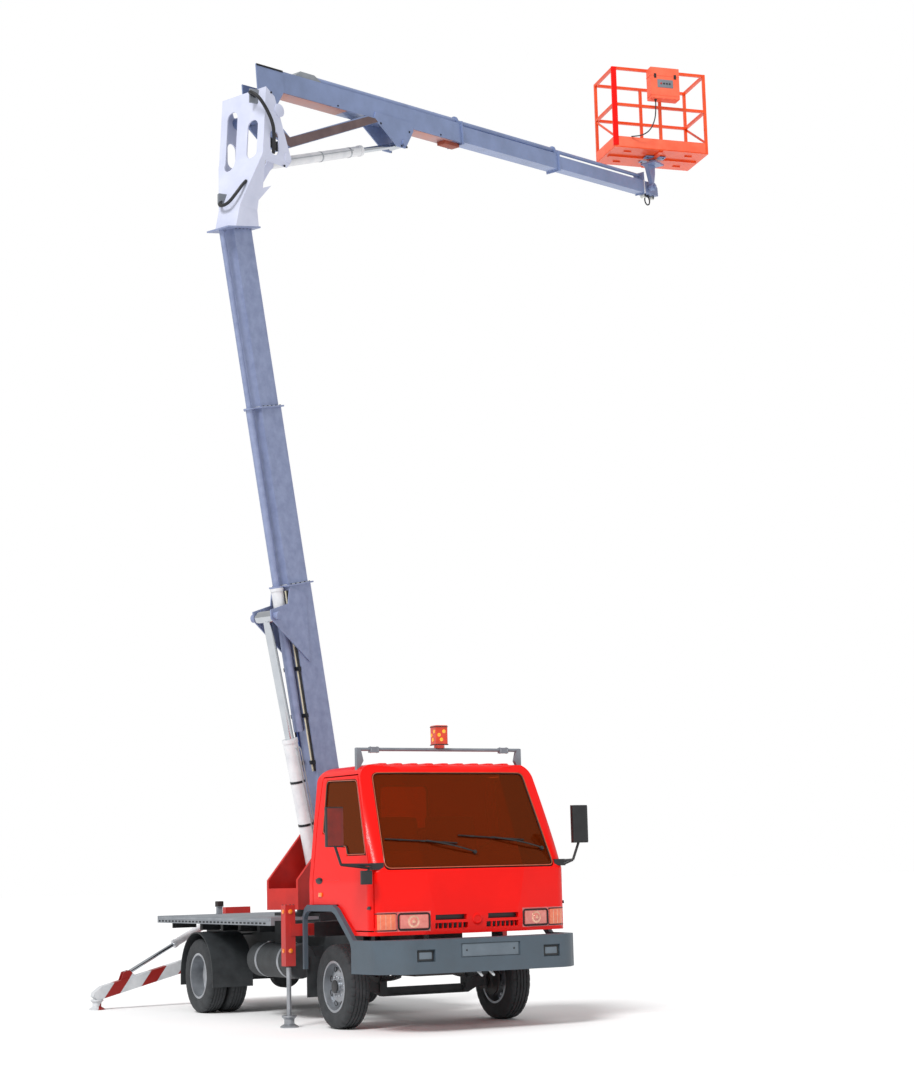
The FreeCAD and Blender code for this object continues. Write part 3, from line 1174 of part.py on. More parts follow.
def lower_boom_middle():
    tail, mouth = LOWER_ENDS[1]
    parts = telescope(LOWER_SECTIONS, 1, LOWER_DROP, LOWER_CONDUIT_Z, tail, mouth)
    parts.append(conduit(LOWER_SECTIONS[1][4], LOWER_SECTIONS[1][5], LOWER_OUTER_MOUTH - 20, mouth,
                         LOWER_CONDUIT_Z))
    return place_lower(fuse(parts))


def lower_boom_inner():
    tail, mouth = LOWER_ENDS[2]
    parts = telescope(LOWER_SECTIONS, 2, LOWER_DROP, LOWER_CONDUIT_Z, tail, mouth)
    parts.append(conduit(LOWER_SECTIONS[2][4], LOWER_SECTIONS[2][5], LOWER_ENDS[1][1] - 20, mouth,
                         LOWER_CONDUIT_Z))
    flange = box(mouth, mouth + COLLAR_THICKNESS, -150, 150, LOWER_DROP - 200, LOWER_CONDUIT_Z + 60)
    parts.append(flange)
    return place_lower(fuse(parts))


# --- Elbow bracket, in the boom plane relative to the lower boom's head ---
ELBOW_WALL = 14.0
ELBOW_HALF = 312.0
ELBOW_FOOT_HALF = 150.0
ELBOW_SIDE = [
    (127, 1485), (71, 769), (-90, 250), (-150, 60), (150, 120), (140, 300), (462, 722), (502, 785),
    (255, 1410),
]


# Opening towards the upper boom, clear of the back plate.
ELBOW_MOUTH = [(160, 1650), (100, 770), (165, 430), (900, 740), (900, 1650)]


# Twin plates that hold the upper ram's base, inside the bracket.
CLEVIS_HALF = 76.0
ELBOW_CLEVIS = [(150, 300), (420, 705), (478, 762), (482, 815), (440, 842), (398, 825), (375, 775), (60, 420)]


def head_point(belly):
    """Boom-plane point just over the head flange, belly mm from the boom's centre line."""
    return plane_point(LOWER_REST, LOWER_HEAD_S + SEAT_GAP, LOWER_DROP + belly,
                       LOWER_PIVOT_R, LOWER_PIVOT_Z)


def elbow_bracket():
    outline = [(HEAD_R + r, HEAD_Z + z) for r, z in ELBOW_SIDE]
    outline[3:5] = [head_point(165), head_point(-175)]
    low = HEAD_Z - 60
    bend = HEAD_Z + 740
    width = [(-ELBOW_FOOT_HALF, low), (ELBOW_FOOT_HALF, low), (ELBOW_FOOT_HALF, HEAD_Z + 200),
             (ELBOW_HALF, bend), (ELBOW_HALF, HEAD_Z + 1560), (-ELBOW_HALF, HEAD_Z + 1560),
             (-ELBOW_HALF, bend), (-ELBOW_FOOT_HALF, HEAD_Z + 200)]
    reach = (HEAD_R - 400, HEAD_R + 800)
    hull = offset_prism(outline, 0, "side", -500, 500).common(offset_prism(width, 0, "front", *reach))
    hollow = offset_prism(outline, ELBOW_WALL, "side", -500, 500).common(
        offset_prism(width, ELBOW_WALL, "front", *reach))
    mouth = side_prism([(HEAD_R + r, HEAD_Z + z) for r, z in ELBOW_MOUTH],
                       -ELBOW_HALF + ELBOW_WALL, ELBOW_HALF - ELBOW_WALL)
    shell = hull.cut([hollow, mouth])
    ovals = []
    for y, middle, half_height in ((-150, 945, 210), (150, 985, 330)):
        ovals.append(oval_cut(V(HEAD_R - 300, y, HEAD_Z + middle), ALONG_X, 72, half_height, 480))
    for side in (-1, 1):
        ovals.append(oval_cut(V(HEAD_R + 247, side * (ELBOW_HALF - 60), HEAD_Z + 912), ALONG_Y * side,
                              64, 132, 200))
    shell = shell.cut(ovals)
    pins = [
        rod(V(ELBOW_R, -ELBOW_HALF - 8, ELBOW_Z), V(ELBOW_R, ELBOW_HALF + 8, ELBOW_Z), ELBOW_PIN_RADIUS),
        rod(V(ELBOW_R, -ELBOW_HALF, ELBOW_Z), V(ELBOW_R, -ELBOW_HALF + ELBOW_WALL, ELBOW_Z), 62),
        rod(V(ELBOW_R, ELBOW_HALF - ELBOW_WALL, ELBOW_Z), V(ELBOW_R, ELBOW_HALF, ELBOW_Z), 62),
        rod(V(RAM_BASE_R, -CLEVIS_HALF, RAM_BASE_Z), V(RAM_BASE_R, CLEVIS_HALF, RAM_BASE_Z),
            UPPER_RAM_PIN_RADIUS),
    ]
    for side in (-1, 1):
        y0, y1 = sorted((side * ELBOW_HALF, side * (ELBOW_HALF + 10)))
        pins.append(rod(V(RAM_BASE_R, y0, RAM_BASE_Z), V(RAM_BASE_R, y1, RAM_BASE_Z), 30))
        y0, y1 = sorted((side * (CLEVIS_HALF - 16), side * CLEVIS_HALF))
        outline = [(HEAD_R + r, HEAD_Z + z) for r, z in ELBOW_CLEVIS]
        pins.append(side_prism(outline, y0, y1))
    return to_truck(fuse([shell] + pins))


ELBOW_PIN_RADIUS = 40.0
UPPER_RAM_PIN_RADIUS = 24.0


def oval_cut(centre, direction, half_width, half_height, length):
    """Upright slot with round ends, cut along a direction."""
    across = UP.cross(direction).normalize()
    straight = half_height - half_width
    corners = [centre + across * sx * half_width + UP * sz * straight
               for sx, sz in ((-1, -1), (1, -1), (1, 1), (-1, 1))]
    middle = prism(corners, direction * length)
    ends = [Part.makeCylinder(half_width, length, centre + UP * sign * straight, direction)
            for sign in (-1, 1)]
    return fuse([middle] + ends)


def upper_boom_outer():
    tail, mouth = UPPER_ENDS[0]
    name, depth, width, wall, conduit_outer, conduit_wall = UPPER_SECTIONS[0]
    belly = UPPER_RISE - depth / 2
    parts = telescope(UPPER_SECTIONS, 0, UPPER_RISE, UPPER_CONDUIT_Z, UPPER_TUBE_START, mouth)
    parts.append(conduit(conduit_outer, conduit_wall, 900, mouth, UPPER_CONDUIT_Z))
    top = UPPER_RISE + depth / 2
    hump = side_prism([(550, top - 2), (670, top + 80), (890, top + 80), (990, top + 30), (990, top - 2)],
                      -60, 60)
    parts.append(hump)
    for s in (1400, 2400):
        parts.append(box(s - 20, s + 20, -30, 30, top - 2, UPPER_CONDUIT_Z - conduit_outer + 2))
    lug = [(1823, belly + 70), (1800, belly), (2173, UPPER_LUG_RISE - 56), (2311, UPPER_LUG_RISE - 56),
           (2477, belly - 36), (2477, belly + 60)]
    hinge = [(-70, -40), (0, -65), (75, -30), (320, belly), (320, belly + 60), (tail, belly + 60),
             (tail, belly - 20)]
    strut = [(-50, -80), (110, -200), (363, -282), (1972, belly + 2), (1667, belly + 2), (363, -170),
             (75, 55)]
    half = width / 2
    for side in (-1, 1):
        y0, y1 = sorted((side * half, side * (half + 14)))
        parts.append(side_prism(lug, y0, y1))
        parts.append(side_prism(hinge, y0, y1))
        y0, y1 = sorted((side * 85, side * (half + 12)))
        parts.append(side_prism(strut, y0, y1))
        y0, y1 = sorted((side * (half + 14), side * (half + 34)))
        parts.append(rod(V(UPPER_LUG_S, y0, UPPER_LUG_RISE), V(UPPER_LUG_S, y1, UPPER_LUG_RISE), 34))
    parts.append(box(tail, 320, -half - 14, -half, belly + 50, top))
    hub = rod(V(0, -ELBOW_HALF + ELBOW_WALL + 3, 0), V(0, ELBOW_HALF - ELBOW_WALL - 3, 0), 62)
    parts.append(hub)
    pin_hole = rod(V(0, -400, 0), V(0, 400, 0), ELBOW_PIN_RADIUS + PIN_CLEARANCE)
    pad = box(mouth - 290, mouth - 20, -55, 55, belly - 45, belly + 1)
    parts.append(pad)
    return place_upper(fuse(parts).cut(pin_hole))


def upper_boom_middle():
    tail, mouth = UPPER_ENDS[1]
    parts = telescope(UPPER_SECTIONS, 1, UPPER_RISE, UPPER_CONDUIT_Z, tail, mouth)
    parts.append(conduit(UPPER_SECTIONS[1][4], UPPER_SECTIONS[1][5], UPPER_OUTER_MOUTH - 20, mouth,
                         UPPER_CONDUIT_Z))
    return place_upper(fuse(parts))


TIP_PIN_RADIUS = 22.0


def upper_boom_inner():
    tail, mouth = UPPER_ENDS[2]
    depth = UPPER_SECTIONS[2][1]
    width = UPPER_SECTIONS[2][2]
    parts = telescope(UPPER_SECTIONS, 2, UPPER_RISE, UPPER_CONDUIT_Z, tail, mouth)
    parts.append(conduit(UPPER_SECTIONS[2][4], UPPER_SECTIONS[2][5], UPPER_ENDS[1][1] - 20, mouth,
                         UPPER_CONDUIT_Z))
    parts.append(box(mouth - 12, mouth, -width / 2 - 14, width / 2 + 14, UPPER_RISE - depth / 2 - 14,
                     UPPER_CONDUIT_Z + UPPER_SECTIONS[2][4] + 12))
    pin_s = UPPER_END_S + TIP_PIN_AHEAD
    parts.append(rod(V(pin_s, -width / 2 - 110, UPPER_RISE), V(pin_s, width / 2, UPPER_RISE), TIP_PIN_RADIUS))
    for side in (-1, 1):
        y0, y1 = sorted((side * (width / 2 - 12), side * width / 2))
        parts.append(side_prism([(mouth - 1, UPPER_RISE - 81), (mouth + TIP_YOKE_LENGTH, UPPER_RISE - 81),
                                 (mouth + TIP_YOKE_LENGTH, UPPER_RISE + 30),
                                 (mouth + TIP_YOKE_LENGTH - 60, UPPER_RISE + 81), (mouth - 1, UPPER_RISE + 81)],
                                y0, y1))
    parts.append(box(mouth - 1, mouth + TIP_YOKE_LENGTH, -width / 2 + 2, width / 2 - 2, UPPER_RISE - 81,
                     UPPER_RISE - 69))
    return place_upper(fuse(parts))


def boom_ram(table, base, eye, rod_start, base_bore, base_width, eye_width):
    """Place a ram in the boom plane between its base pin and its rod eye."""
    reach = math.hypot(eye[0] - base[0], eye[1] - base[1])
    angle = math.degrees(math.atan2(eye[1] - base[1], eye[0] - base[0]))
    return [to_truck(tilted(piece, angle, base[0], base[1]))
            for piece in make_ram(table, reach, rod_start, base_bore, base_width, eye_width)]


def lift_ram():
    width = LOWER_SECTIONS[0][2] - 2 * PAD_CLEARANCE
    return boom_ram(LIFT_RAM, (LIFT_BASE_R, LIFT_BASE_Z), (LIFT_PIN_R, LIFT_PIN_Z), LIFT_ROD_START,
                    LIFT_PIN_RADIUS, 200, width)


def upper_ram():
    width = UPPER_SECTIONS[0][2] - 2 * PAD_CLEARANCE
    return boom_ram(UPPER_RAM, (RAM_BASE_R, RAM_BASE_Z), (UPPER_PIN_R, UPPER_PIN_Z), UPPER_ROD_START,
                    UPPER_RAM_PIN_RADIUS, 100, width)


# --- Basket ---
def basket_mount():
    """Levelling arm beside the boom's tip, with the post that the basket turns on."""
    half = UPPER_SECTIONS[2][2] / 2
    side0 = -half - 30
    side1 = -half - 90
    hub = rod(V(TIP_PIN_R, side0, TIP_PIN_Z), V(TIP_PIN_R, side1, TIP_PIN_Z), 50)
    bore = rod(V(TIP_PIN_R, 0, TIP_PIN_Z), V(TIP_PIN_R, side1 - 40, TIP_PIN_Z), TIP_PIN_RADIUS + PIN_CLEARANCE)
    arm = side_prism([(TIP_PIN_R - 20, TIP_PIN_Z - 46), (BASKET_R + 60, BASKET_Z - 190),
                      (BASKET_R + 60, BASKET_Z - 90), (BASKET_R - 110, BASKET_Z - 90),
                      (TIP_PIN_R - 40, TIP_PIN_Z + 30)], side1, side0)
    table = box(BASKET_R - 110, BASKET_R + 110, -BASKET_SIDE - 110, -BASKET_SIDE + 110, BASKET_Z - 90,
                BASKET_Z - 70)
    post = rod(V(BASKET_R, -BASKET_SIDE, BASKET_Z - 70), V(BASKET_R, -BASKET_SIDE, BASKET_Z - 24), 40)
    return to_truck(fuse([hub, arm]).cut(bore).fuse([table, post]).removeSplitter())


def basket():
    """Work basket: floor tray, toe boards, posts, three rails and a gate side."""
    length, width, height, size = BASKET_LENGTH, BASKET_WIDTH, BASKET_HEIGHT, BASKET_TUBE
    x1, y1 = length / 2, width / 2
    parts = [box(-x1, x1, -y1, y1, 0, 24)]
    parts.append(box(-x1, x1, -y1, -y1 + 6, 0, 150))
    parts.append(box(-x1, x1, y1 - 6, y1, 0, 150))
    parts.append(box(-x1, -x1 + 6, -y1, y1, 0, 150))
    parts.append(box(x1 - 6, x1, -y1, y1, 0, 150))
    posts_x = (-x1, -size / 2, x1 - size)
    for x in posts_x:
        for y in (-y1, y1 - size):
            parts.append(box(x, x + size, y, y + size, 0, height))
    for z in (height - size, height * 0.52):
        for y in (-y1, y1 - size):
            parts.append(box(-x1, x1, y, y + size, z, z + size))
        for x in (-x1, x1 - size):
            parts.append(box(x, x + size, -y1, y1, z, z + size))
    socket = Part.makeCylinder(75, 23.7, V(0, 0, -23.7))
    ribs = [box(-x1 + 40, x1 - 40, -30, 30, -20, 1), box(-30, 30, -y1 + 30, y1 - 30, -20, 1)]
    frame = fuse(parts + [socket] + ribs)
    return place_basket(frame)


def place_basket(shape):
    moved = shape.copy()
    moved.rotate(V(0, 0, 0), UP, BASKET_YAW)
    moved.translate(truck_point(BASKET_R, -BASKET_SIDE, BASKET_Z))
    return moved


def control_box():
    y_face = -BASKET_WIDTH / 2 - 0.3
    case = box(-180, 220, y_face - 150, y_face, BASKET_HEIGHT - 440, BASKET_HEIGHT - 20)
    hooks = [box(x - 15, x + 15, y_face - 20, y_face + BASKET_TUBE + 20, BASKET_HEIGHT + 0.3,
                 BASKET_HEIGHT + 12) for x in (-120, 160)]
    straps = [box(x - 15, x + 15, y_face - 20, y_face, BASKET_HEIGHT - 21, BASKET_HEIGHT + 12)
              for x in (-120, 160)]
    return place_basket(fuse([case] + hooks + straps))


def build():
    """Name and build every sub-part, still in the drawing frame."""
    front_tyre = tyre(FRONT_WHEEL_Y, 0, FRONT_TYRE_WIDTH)
    rear_ram_barrel, rear_ram_rod = rear_ram()
    lift_barrel, lift_rod = lift_ram()
    upper_barrel, upper_rod = upper_ram()
    pairs = {
        "tyre_front": front_tyre,
        "rim_front": front_rim(),
        "tyres_rear": rear_tyres(),
        "rim_rear": rear_rim(),
        "knuckle": knuckle(),
        "front_outrigger_beam": front_beam(),
        "front_jack": front_jack(),
        "rear_outrigger_arm": rear_arm(),
        "rear_ram_barrel": rear_ram_barrel,
        "rear_ram_rod": rear_ram_rod,
    }
    nodes = {
        "chassis_frame": chassis_frame(),
        "engine": engine(),
        "driveline": driveline(),
        "front_axle": front_axle(),
        "rear_axle": rear_axle(),
        "leaf_springs": leaf_springs(),
        "tanks": Part.makeCompound([fuel_tank(), hydraulic_tank()]),
        "subframe": subframe(),
        "rear_outrigger_frame": rear_outrigger_frame(),
        "deck": deck(),
        "mudguards": mudguards(),
        "bumper_and_flares": bumper_and_flares(),
        "cab_shell": cab_shell(),
        "front_panel": front_panel(),
        "headlamps": headlamps(),
        "cab_windows": cab_windows(),
        "dashboard": dashboard(),
        "seats": seats(),
        "roof_bar": roof_bar(),
        "beacon": beacon(),
        "mirrors": mirrors(),
        "door_left": door(1),
        "door_right": door(-1),
        "door_glass_left": door_glass(1),
        "door_glass_right": door_glass(-1),
        "turret": turret(),
        "lower_boom_outer": lower_boom_outer(),
        "lower_boom_middle": lower_boom_middle(),
        "lower_boom_inner": lower_boom_inner(),
        "lift_ram_barrel": lift_barrel,
        "lift_ram_rod": lift_rod,
        "elbow_bracket": elbow_bracket(),
        "upper_boom_outer": upper_boom_outer(),
        "upper_boom_middle": upper_boom_middle(),
        "upper_boom_inner": upper_boom_inner(),
        "upper_ram_barrel": upper_barrel,
        "upper_ram_rod": upper_rod,
        "basket_mount": basket_mount(),
        "basket": basket(),
        "control_box": control_box(),
    }
    for name, shape in pairs.items():
        nodes[name + "_left"] = shape
        nodes[name + "_right"] = mirrored(shape)
    return nodes


def base_centre(nodes):
    """Centre of the whole object's box, on the ground."""
    whole = FreeCAD.BoundBox()
    for shape in nodes.values():
        whole.add(shape.optimalBoundingBox(False))
    return V((whole.XMin + whole.XMax) / 2, (whole.YMin + whole.YMax) / 2, 0)


os.makedirs("parts", exist_ok=True)
NODES = build()
ORIGIN = base_centre(NODES)
for node_name, node_shape in NODES.items():
    node_shape.translate(-ORIGIN)
    node_shape.exportStep("parts/" + node_name + ".step")
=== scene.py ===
"""Looks of the cherry picker truck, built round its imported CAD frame. Sizes are truck millimetres."""

import math

import bmesh
import bpy
from mathutils import Matrix, Vector
from mathutils.bvhtree import BVHTree


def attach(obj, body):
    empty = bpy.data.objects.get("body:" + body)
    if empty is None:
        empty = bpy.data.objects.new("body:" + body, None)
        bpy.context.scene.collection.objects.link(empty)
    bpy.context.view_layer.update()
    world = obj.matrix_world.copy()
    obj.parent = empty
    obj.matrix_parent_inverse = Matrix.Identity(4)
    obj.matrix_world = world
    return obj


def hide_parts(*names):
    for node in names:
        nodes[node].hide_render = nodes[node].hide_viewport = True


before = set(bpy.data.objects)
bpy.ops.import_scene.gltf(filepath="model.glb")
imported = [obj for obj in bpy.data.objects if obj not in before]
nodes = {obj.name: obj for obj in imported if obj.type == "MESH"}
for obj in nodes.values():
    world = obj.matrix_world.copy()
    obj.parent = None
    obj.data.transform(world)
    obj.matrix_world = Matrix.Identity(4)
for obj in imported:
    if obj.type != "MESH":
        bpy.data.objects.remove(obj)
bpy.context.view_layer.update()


# --- Floor, light and camera ---
# A pale floor with a soft shadow, one broad lamp from the truck's front right, an even sky
# and white behind everything the camera sees directly.
def linear(code, alpha=1.0):
    """A colour given as sRGB hex, in the linear values that shaders take."""
    parts = [int(code[i:i + 2], 16) / 255 for i in (1, 3, 5)]
    return tuple(p / 12.92 if p <= 0.04045 else ((p + 0.055) / 1.055) ** 2.4 for p in parts) + (alpha,)


def add(tree, kind, inputs, **settings):
    """Adds one node: settings are its own fields, inputs are constants or sockets to link from."""
    node = tree.nodes.new(kind)
    for field, value in settings.items():
        setattr(node, field, value)
    for name, value in inputs.items():
        if isinstance(value, bpy.types.NodeSocket):
            tree.links.new(value, node.inputs[name])
        else:
            node.inputs[name].default_value = value
    return node


# smooth studio floor: it carries the soft contact shadow and meets the white background unseen
floor_paint = bpy.data.materials.new("matt_studio_floor")
floor_paint.use_nodes = True
tree = floor_paint.node_tree
place = add(tree, "ShaderNodeTexCoord", {}).outputs["Object"]
cloud = add(tree, "ShaderNodeTexNoise", {"Vector": place, "Scale": 0.4, "Detail": 2.0})
shade = add(tree, "ShaderNodeMix", {0: cloud.outputs["Fac"], 6: linear("#FAFAFA"), 7: linear("#FDFDFD")},
            data_type="RGBA")
tree.links.new(shade.outputs[2], tree.nodes["Principled BSDF"].inputs["Base Color"])
tree.nodes["Principled BSDF"].inputs["Roughness"].default_value = 1.0
tree.nodes["Principled BSDF"].inputs["Specular IOR Level"].default_value = 0.0
bm = bmesh.new()
bmesh.ops.create_grid(bm, x_segments=12, y_segments=12, size=160)
mesh = bpy.data.meshes.new("studio_floor")
bm.to_mesh(mesh)
bm.free()
mesh.materials.append(floor_paint)
floor = bpy.data.objects.new("studio_floor", mesh)
bpy.context.scene.collection.objects.link(floor)

sun = bpy.data.objects.new("soft_key", bpy.data.lights.new("soft_key", "SUN"))
sun.data.energy = 2.3
sun.data.angle = math.radians(18)
sun.rotation_euler = (math.radians(45), 0, math.radians(35))
bpy.context.scene.collection.objects.link(sun)

world = bpy.data.worlds.new("studio_sky")
bpy.context.scene.world = world
world.use_nodes = True
tree = world.node_tree
ray = add(tree, "ShaderNodeLightPath", {})
sky = tree.nodes["Background"]
sky.inputs["Color"].default_value = (1, 1, 1, 1)
sky.inputs["Strength"].default_value = 0.62
white = add(tree, "ShaderNodeBackground", {"Color": (1, 1, 1, 1), "Strength": 1.0})
seen = add(tree, "ShaderNodeMixShader", {0: ray.outputs["Is Camera Ray"], 1: sky.outputs[0],
                                         2: white.outputs[0]})
tree.links.new(seen.outputs[0], tree.nodes["World Output"].inputs["Surface"])
bpy.context.scene.view_settings.view_transform = "Standard"

turn, tilt, roll = (math.radians(v) for v in (61.224, 9.062, 1.421))
ahead = Vector((-math.sin(turn) * math.cos(tilt), math.cos(turn) * math.cos(tilt), math.sin(tilt)))
right = Vector((math.cos(turn), math.sin(turn), 0))
above = right.cross(ahead)
right, above = (right * math.cos(roll) - above * math.sin(roll), right * math.sin(roll) + above * math.cos(roll))
camera = bpy.data.objects.new("camera", bpy.data.cameras.new("camera"))
camera.data.sensor_width = 36
camera.data.lens = 69.19
camera.matrix_world = Matrix((right, above, -ahead)).transposed().to_4x4()
camera.location = (19.2975, -11.65, 1.396)
bpy.context.scene.collection.objects.link(camera)
bpy.context.scene.camera = camera


# --- Cab, doors and front panel ---
# 2.0 m wide and 1.42 m deep steel cab in a clear bright red, glossy under a clear coat, with dust
# low down.
def coated(name, colour, second, grain=400.0, rough=(0.35, 0.5), metal=0.0, bump=0.05, coat=0.0,
           dust=0.35, patch=3.0, shine=0.5):
    """A finish with mottled colour, uneven gloss, fine grain and dust that thickens near the ground."""
    mat = bpy.data.materials.new(name)
    mat.use_nodes = True
    tree = mat.node_tree
    shader = tree.nodes["Principled BSDF"]
    place = add(tree, "ShaderNodeTexCoord", {}).outputs["Object"]
    cloud = add(tree, "ShaderNodeTexNoise", {"Vector": place, "Scale": patch, "Detail": 6.0, "Roughness": 0.6})
    speck = add(tree, "ShaderNodeTexNoise", {"Vector": place, "Scale": grain, "Detail": 3.0})
    blend = add(tree, "ShaderNodeMapRange", {"Value": cloud.outputs["Fac"], "From Min": 0.35, "From Max": 0.68})
    tint = add(tree, "ShaderNodeMix", {0: blend.outputs[0], 6: linear(colour), 7: linear(second)},
               data_type="RGBA")
    height = add(tree, "ShaderNodeSeparateXYZ", {"Vector": place})
    low = add(tree, "ShaderNodeMapRange", {"Value": height.outputs["Z"], "From Min": 1.3, "From Max": 0.1,
                                           "To Min": 0.0, "To Max": dust})
    dirt = add(tree, "ShaderNodeMath", {0: low.outputs[0], 1: cloud.outputs["Fac"]}, operation="MULTIPLY")
    dusty = add(tree, "ShaderNodeMix", {0: dirt.outputs[0], 6: tint.outputs[2], 7: linear("#6E7174")},
                data_type="RGBA")
    gloss = add(tree, "ShaderNodeMapRange", {"Value": speck.outputs["Fac"], "To Min": rough[0],
                                             "To Max": rough[1]})
    relief = add(tree, "ShaderNodeBump", {"Height": speck.outputs["Fac"], "Strength": bump,
                                          "Distance": 0.002})
    tree.links.new(dusty.outputs[2], shader.inputs["Base Color"])
    tree.links.new(gloss.outputs[0], shader.inputs["Roughness"])
    tree.links.new(relief.outputs[0], shader.inputs["Normal"])
    shader.inputs["Metallic"].default_value = metal
    shader.inputs["Specular IOR Level"].default_value = shine
    shader.inputs["Coat Weight"].default_value = coat
    shader.inputs["Coat Roughness"].default_value = 0.08
    return mat


def dress(mat, *names):
    """Gives CAD nodes a better material in place of their plain one."""
    for name in names:
        nodes[name].data.materials[0] = mat


# bright red gloss enamel: sharp highlights over a slight orange mottle
cab_red = coated("gloss_red_enamel", "#F20A01", "#E60600", grain=900, rough=(0.3, 0.38), bump=0.02, coat=0.12,
                 dust=0.05, patch=1.2, shine=0.2)
dress(cab_red, "cab_shell", "door_left", "door_right", "front_panel")
# black trim plastic: satin, lightly grained
black_plastic = coated("satin_black_plastic", "#1A1B1D", "#242628", grain=1500, rough=(0.35, 0.5), bump=0.1,
                       dust=0.2, patch=6.0)
dress(black_plastic, "dashboard", "mirrors")


# --- Window glass ---
# 5 mm brown-tinted panes in the cab and both doors: the seats and dash show dimly through, with a
# clean reflection on top.
def glass(name, tint, density, haze):
    """Thin coloured glazing: light passes tinted, the surface reflects like glass."""
    mat = bpy.data.materials.new(name)
    mat.use_nodes = True
    tree = mat.node_tree
    tree.nodes.remove(tree.nodes["Principled BSDF"])
    place = add(tree, "ShaderNodeTexCoord", {}).outputs["Object"]
    smear = add(tree, "ShaderNodeTexNoise", {"Vector": place, "Scale": 6.0, "Detail": 5.0})
    gloss = add(tree, "ShaderNodeMapRange", {"Value": smear.outputs["Fac"], "To Min": 0.01, "To Max": 0.07})
    hue = add(tree, "ShaderNodeMix", {0: smear.outputs["Fac"], 6: linear(tint), 7: linear(density)},
              data_type="RGBA")
    ray = add(tree, "ShaderNodeLightPath", {})
    open_tint = add(tree, "ShaderNodeMix", {0: ray.outputs["Is Shadow Ray"], 6: hue.outputs[2],
                                            7: (1, 1, 1, 1)}, data_type="RGBA")
    clear = add(tree, "ShaderNodeBsdfTransparent", {"Color": open_tint.outputs[2]})
    shine = add(tree, "ShaderNodeBsdfGlossy", {"Color": linear("#E8A070"), "Roughness": gloss.outputs[0]})
    edge = add(tree, "ShaderNodeFresnel", {"IOR": 1.45})
    film = add(tree, "ShaderNodeBsdfDiffuse", {"Color": linear("#B8420E")})
    body = add(tree, "ShaderNodeMixShader", {0: haze, 1: clear.outputs[0], 2: film.outputs[0]})
    both = add(tree, "ShaderNodeMixShader", {0: edge.outputs[0], 1: body.outputs[0], 2: shine.outputs[0]})
    tree.links.new(both.outputs[0], tree.nodes["Material Output"].inputs["Surface"])
    return mat


# brown solar glass: warm, dark tint with a slight smear
brown_glass = glass("brown_solar_glass", "#D08048", "#C4743E", 0.16)
dress(brown_glass, "cab_windows", "door_glass_left", "door_glass_right")


# --- Window seals ---
# Dark rubber strips of 18 mm round every pane, with a thin bright orange line of painted highlight on top; swept
# along the pane's rounded edge after it is dropped onto the glass.
FRONT_AXLE_X, FRONT_AXLE_Y = 1.7225, -2.464987


def truck(x, y, z):
    """A truck point in millimetres from the middle of the front axle, in the frame's metres."""
    return Vector((x / 1000 + FRONT_AXLE_X, y / 1000 + FRONT_AXLE_Y, z / 1000))


def pipe(bm, points, radius, sides=12, mat=0, loop=False):
    """A round section swept along points, capped at its ends or closed into a loop."""
    points = [Vector(p) for p in points]
    count = len(points)
    up = None
    rings = []
    for i, p in enumerate(points):
        if loop:
            way = points[(i + 1) % count] - points[i - 1]
        else:
            way = points[min(i + 1, count - 1)] - points[max(i - 1, 0)]
        way.normalize()
        up = way.orthogonal() if up is None else up - way * up.dot(way)
        up.normalize()
        side = way.cross(up)
        rings.append([bm.verts.new(p + (up * math.cos(t) + side * math.sin(t)) * radius)
                      for t in (2 * math.pi * k / sides for k in range(sides))])
    faces = []
    for i in range(count if loop else count - 1):
        a, b = rings[i], rings[(i + 1) % count]
        shift = 0
        if loop and i == count - 1:
            shift = min(range(sides), key=lambda s: (a[0].co - b[s].co).length)
        for k in range(sides):
            faces.append(bm.faces.new((a[k], a[(k + 1) % sides], b[(k + 1 + shift) % sides],
                                       b[(k + shift) % sides])))
    if not loop:
        faces += [bm.faces.new(rings[0][::-1]), bm.faces.new(rings[-1])]
    for face in faces:
        face.material_index = mat
    bmesh.ops.recalc_face_normals(bm, faces=faces)


def piece(name, bm, mats, body, angle=35):
    """Turns built geometry into an object that rides a body of the frame."""
    mesh = bpy.data.meshes.new(name)
    bm.to_mesh(mesh)
    bm.free()
    for mat in mats:
        mesh.materials.append(mat)
    obj = bpy.data.objects.new(name, mesh)
    bpy.context.scene.collection.objects.link(obj)
    mesh.shade_smooth()
    mesh.set_sharp_from_angle(angle=math.radians(angle))
    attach(obj, body)
    return obj


def skin_of(*names):
    """The joined surface of some CAD nodes, for dropping points onto."""
    points, faces = [], []
    for name in names:
        mesh = nodes[name].data
        start = len(points)
        points += [v.co.copy() for v in mesh.vertices]
        faces += [[start + i for i in f.vertices] for f in mesh.polygons]
    return BVHTree.FromPolygons(points, faces)


def drop(skin, start, way):
    """Where a ray from a truck point meets a surface, and the surface's outward direction there."""
    place, normal, _, _ = skin.ray_cast(start, Vector(way))
    if place is None:
        place, normal, _, _ = skin.find_nearest(start)
    return place, normal if normal.dot(Vector(way)) < 0 else -normal


def rounded(corners, radius, steps=5):
    """A closed outline with its corners rounded by short curves."""
    points = []
    count = len(corners)
    for i, corner in enumerate(corners):
        c = Vector(corner)
        before, after = Vector(corners[i - 1]) - c, Vector(corners[(i + 1) % count]) - c
        a = c + before.normalized() * min(radius, before.length * 0.45)
        b = c + after.normalized() * min(radius, after.length * 0.45)
        for k in range(steps + 1):
            t = k / steps
            points.append(a * (1 - t) ** 2 + c * 2 * t * (1 - t) + b * t * t)
    return points


def dense(points, gap):
    """The same closed outline with no step longer than a gap."""
    result = []
    for i, p in enumerate(points):
        q = points[(i + 1) % len(points)]
        parts = max(1, int((q - p).length / gap))
        result += [p.lerp(q, k / parts) for k in range(parts)]
    return result


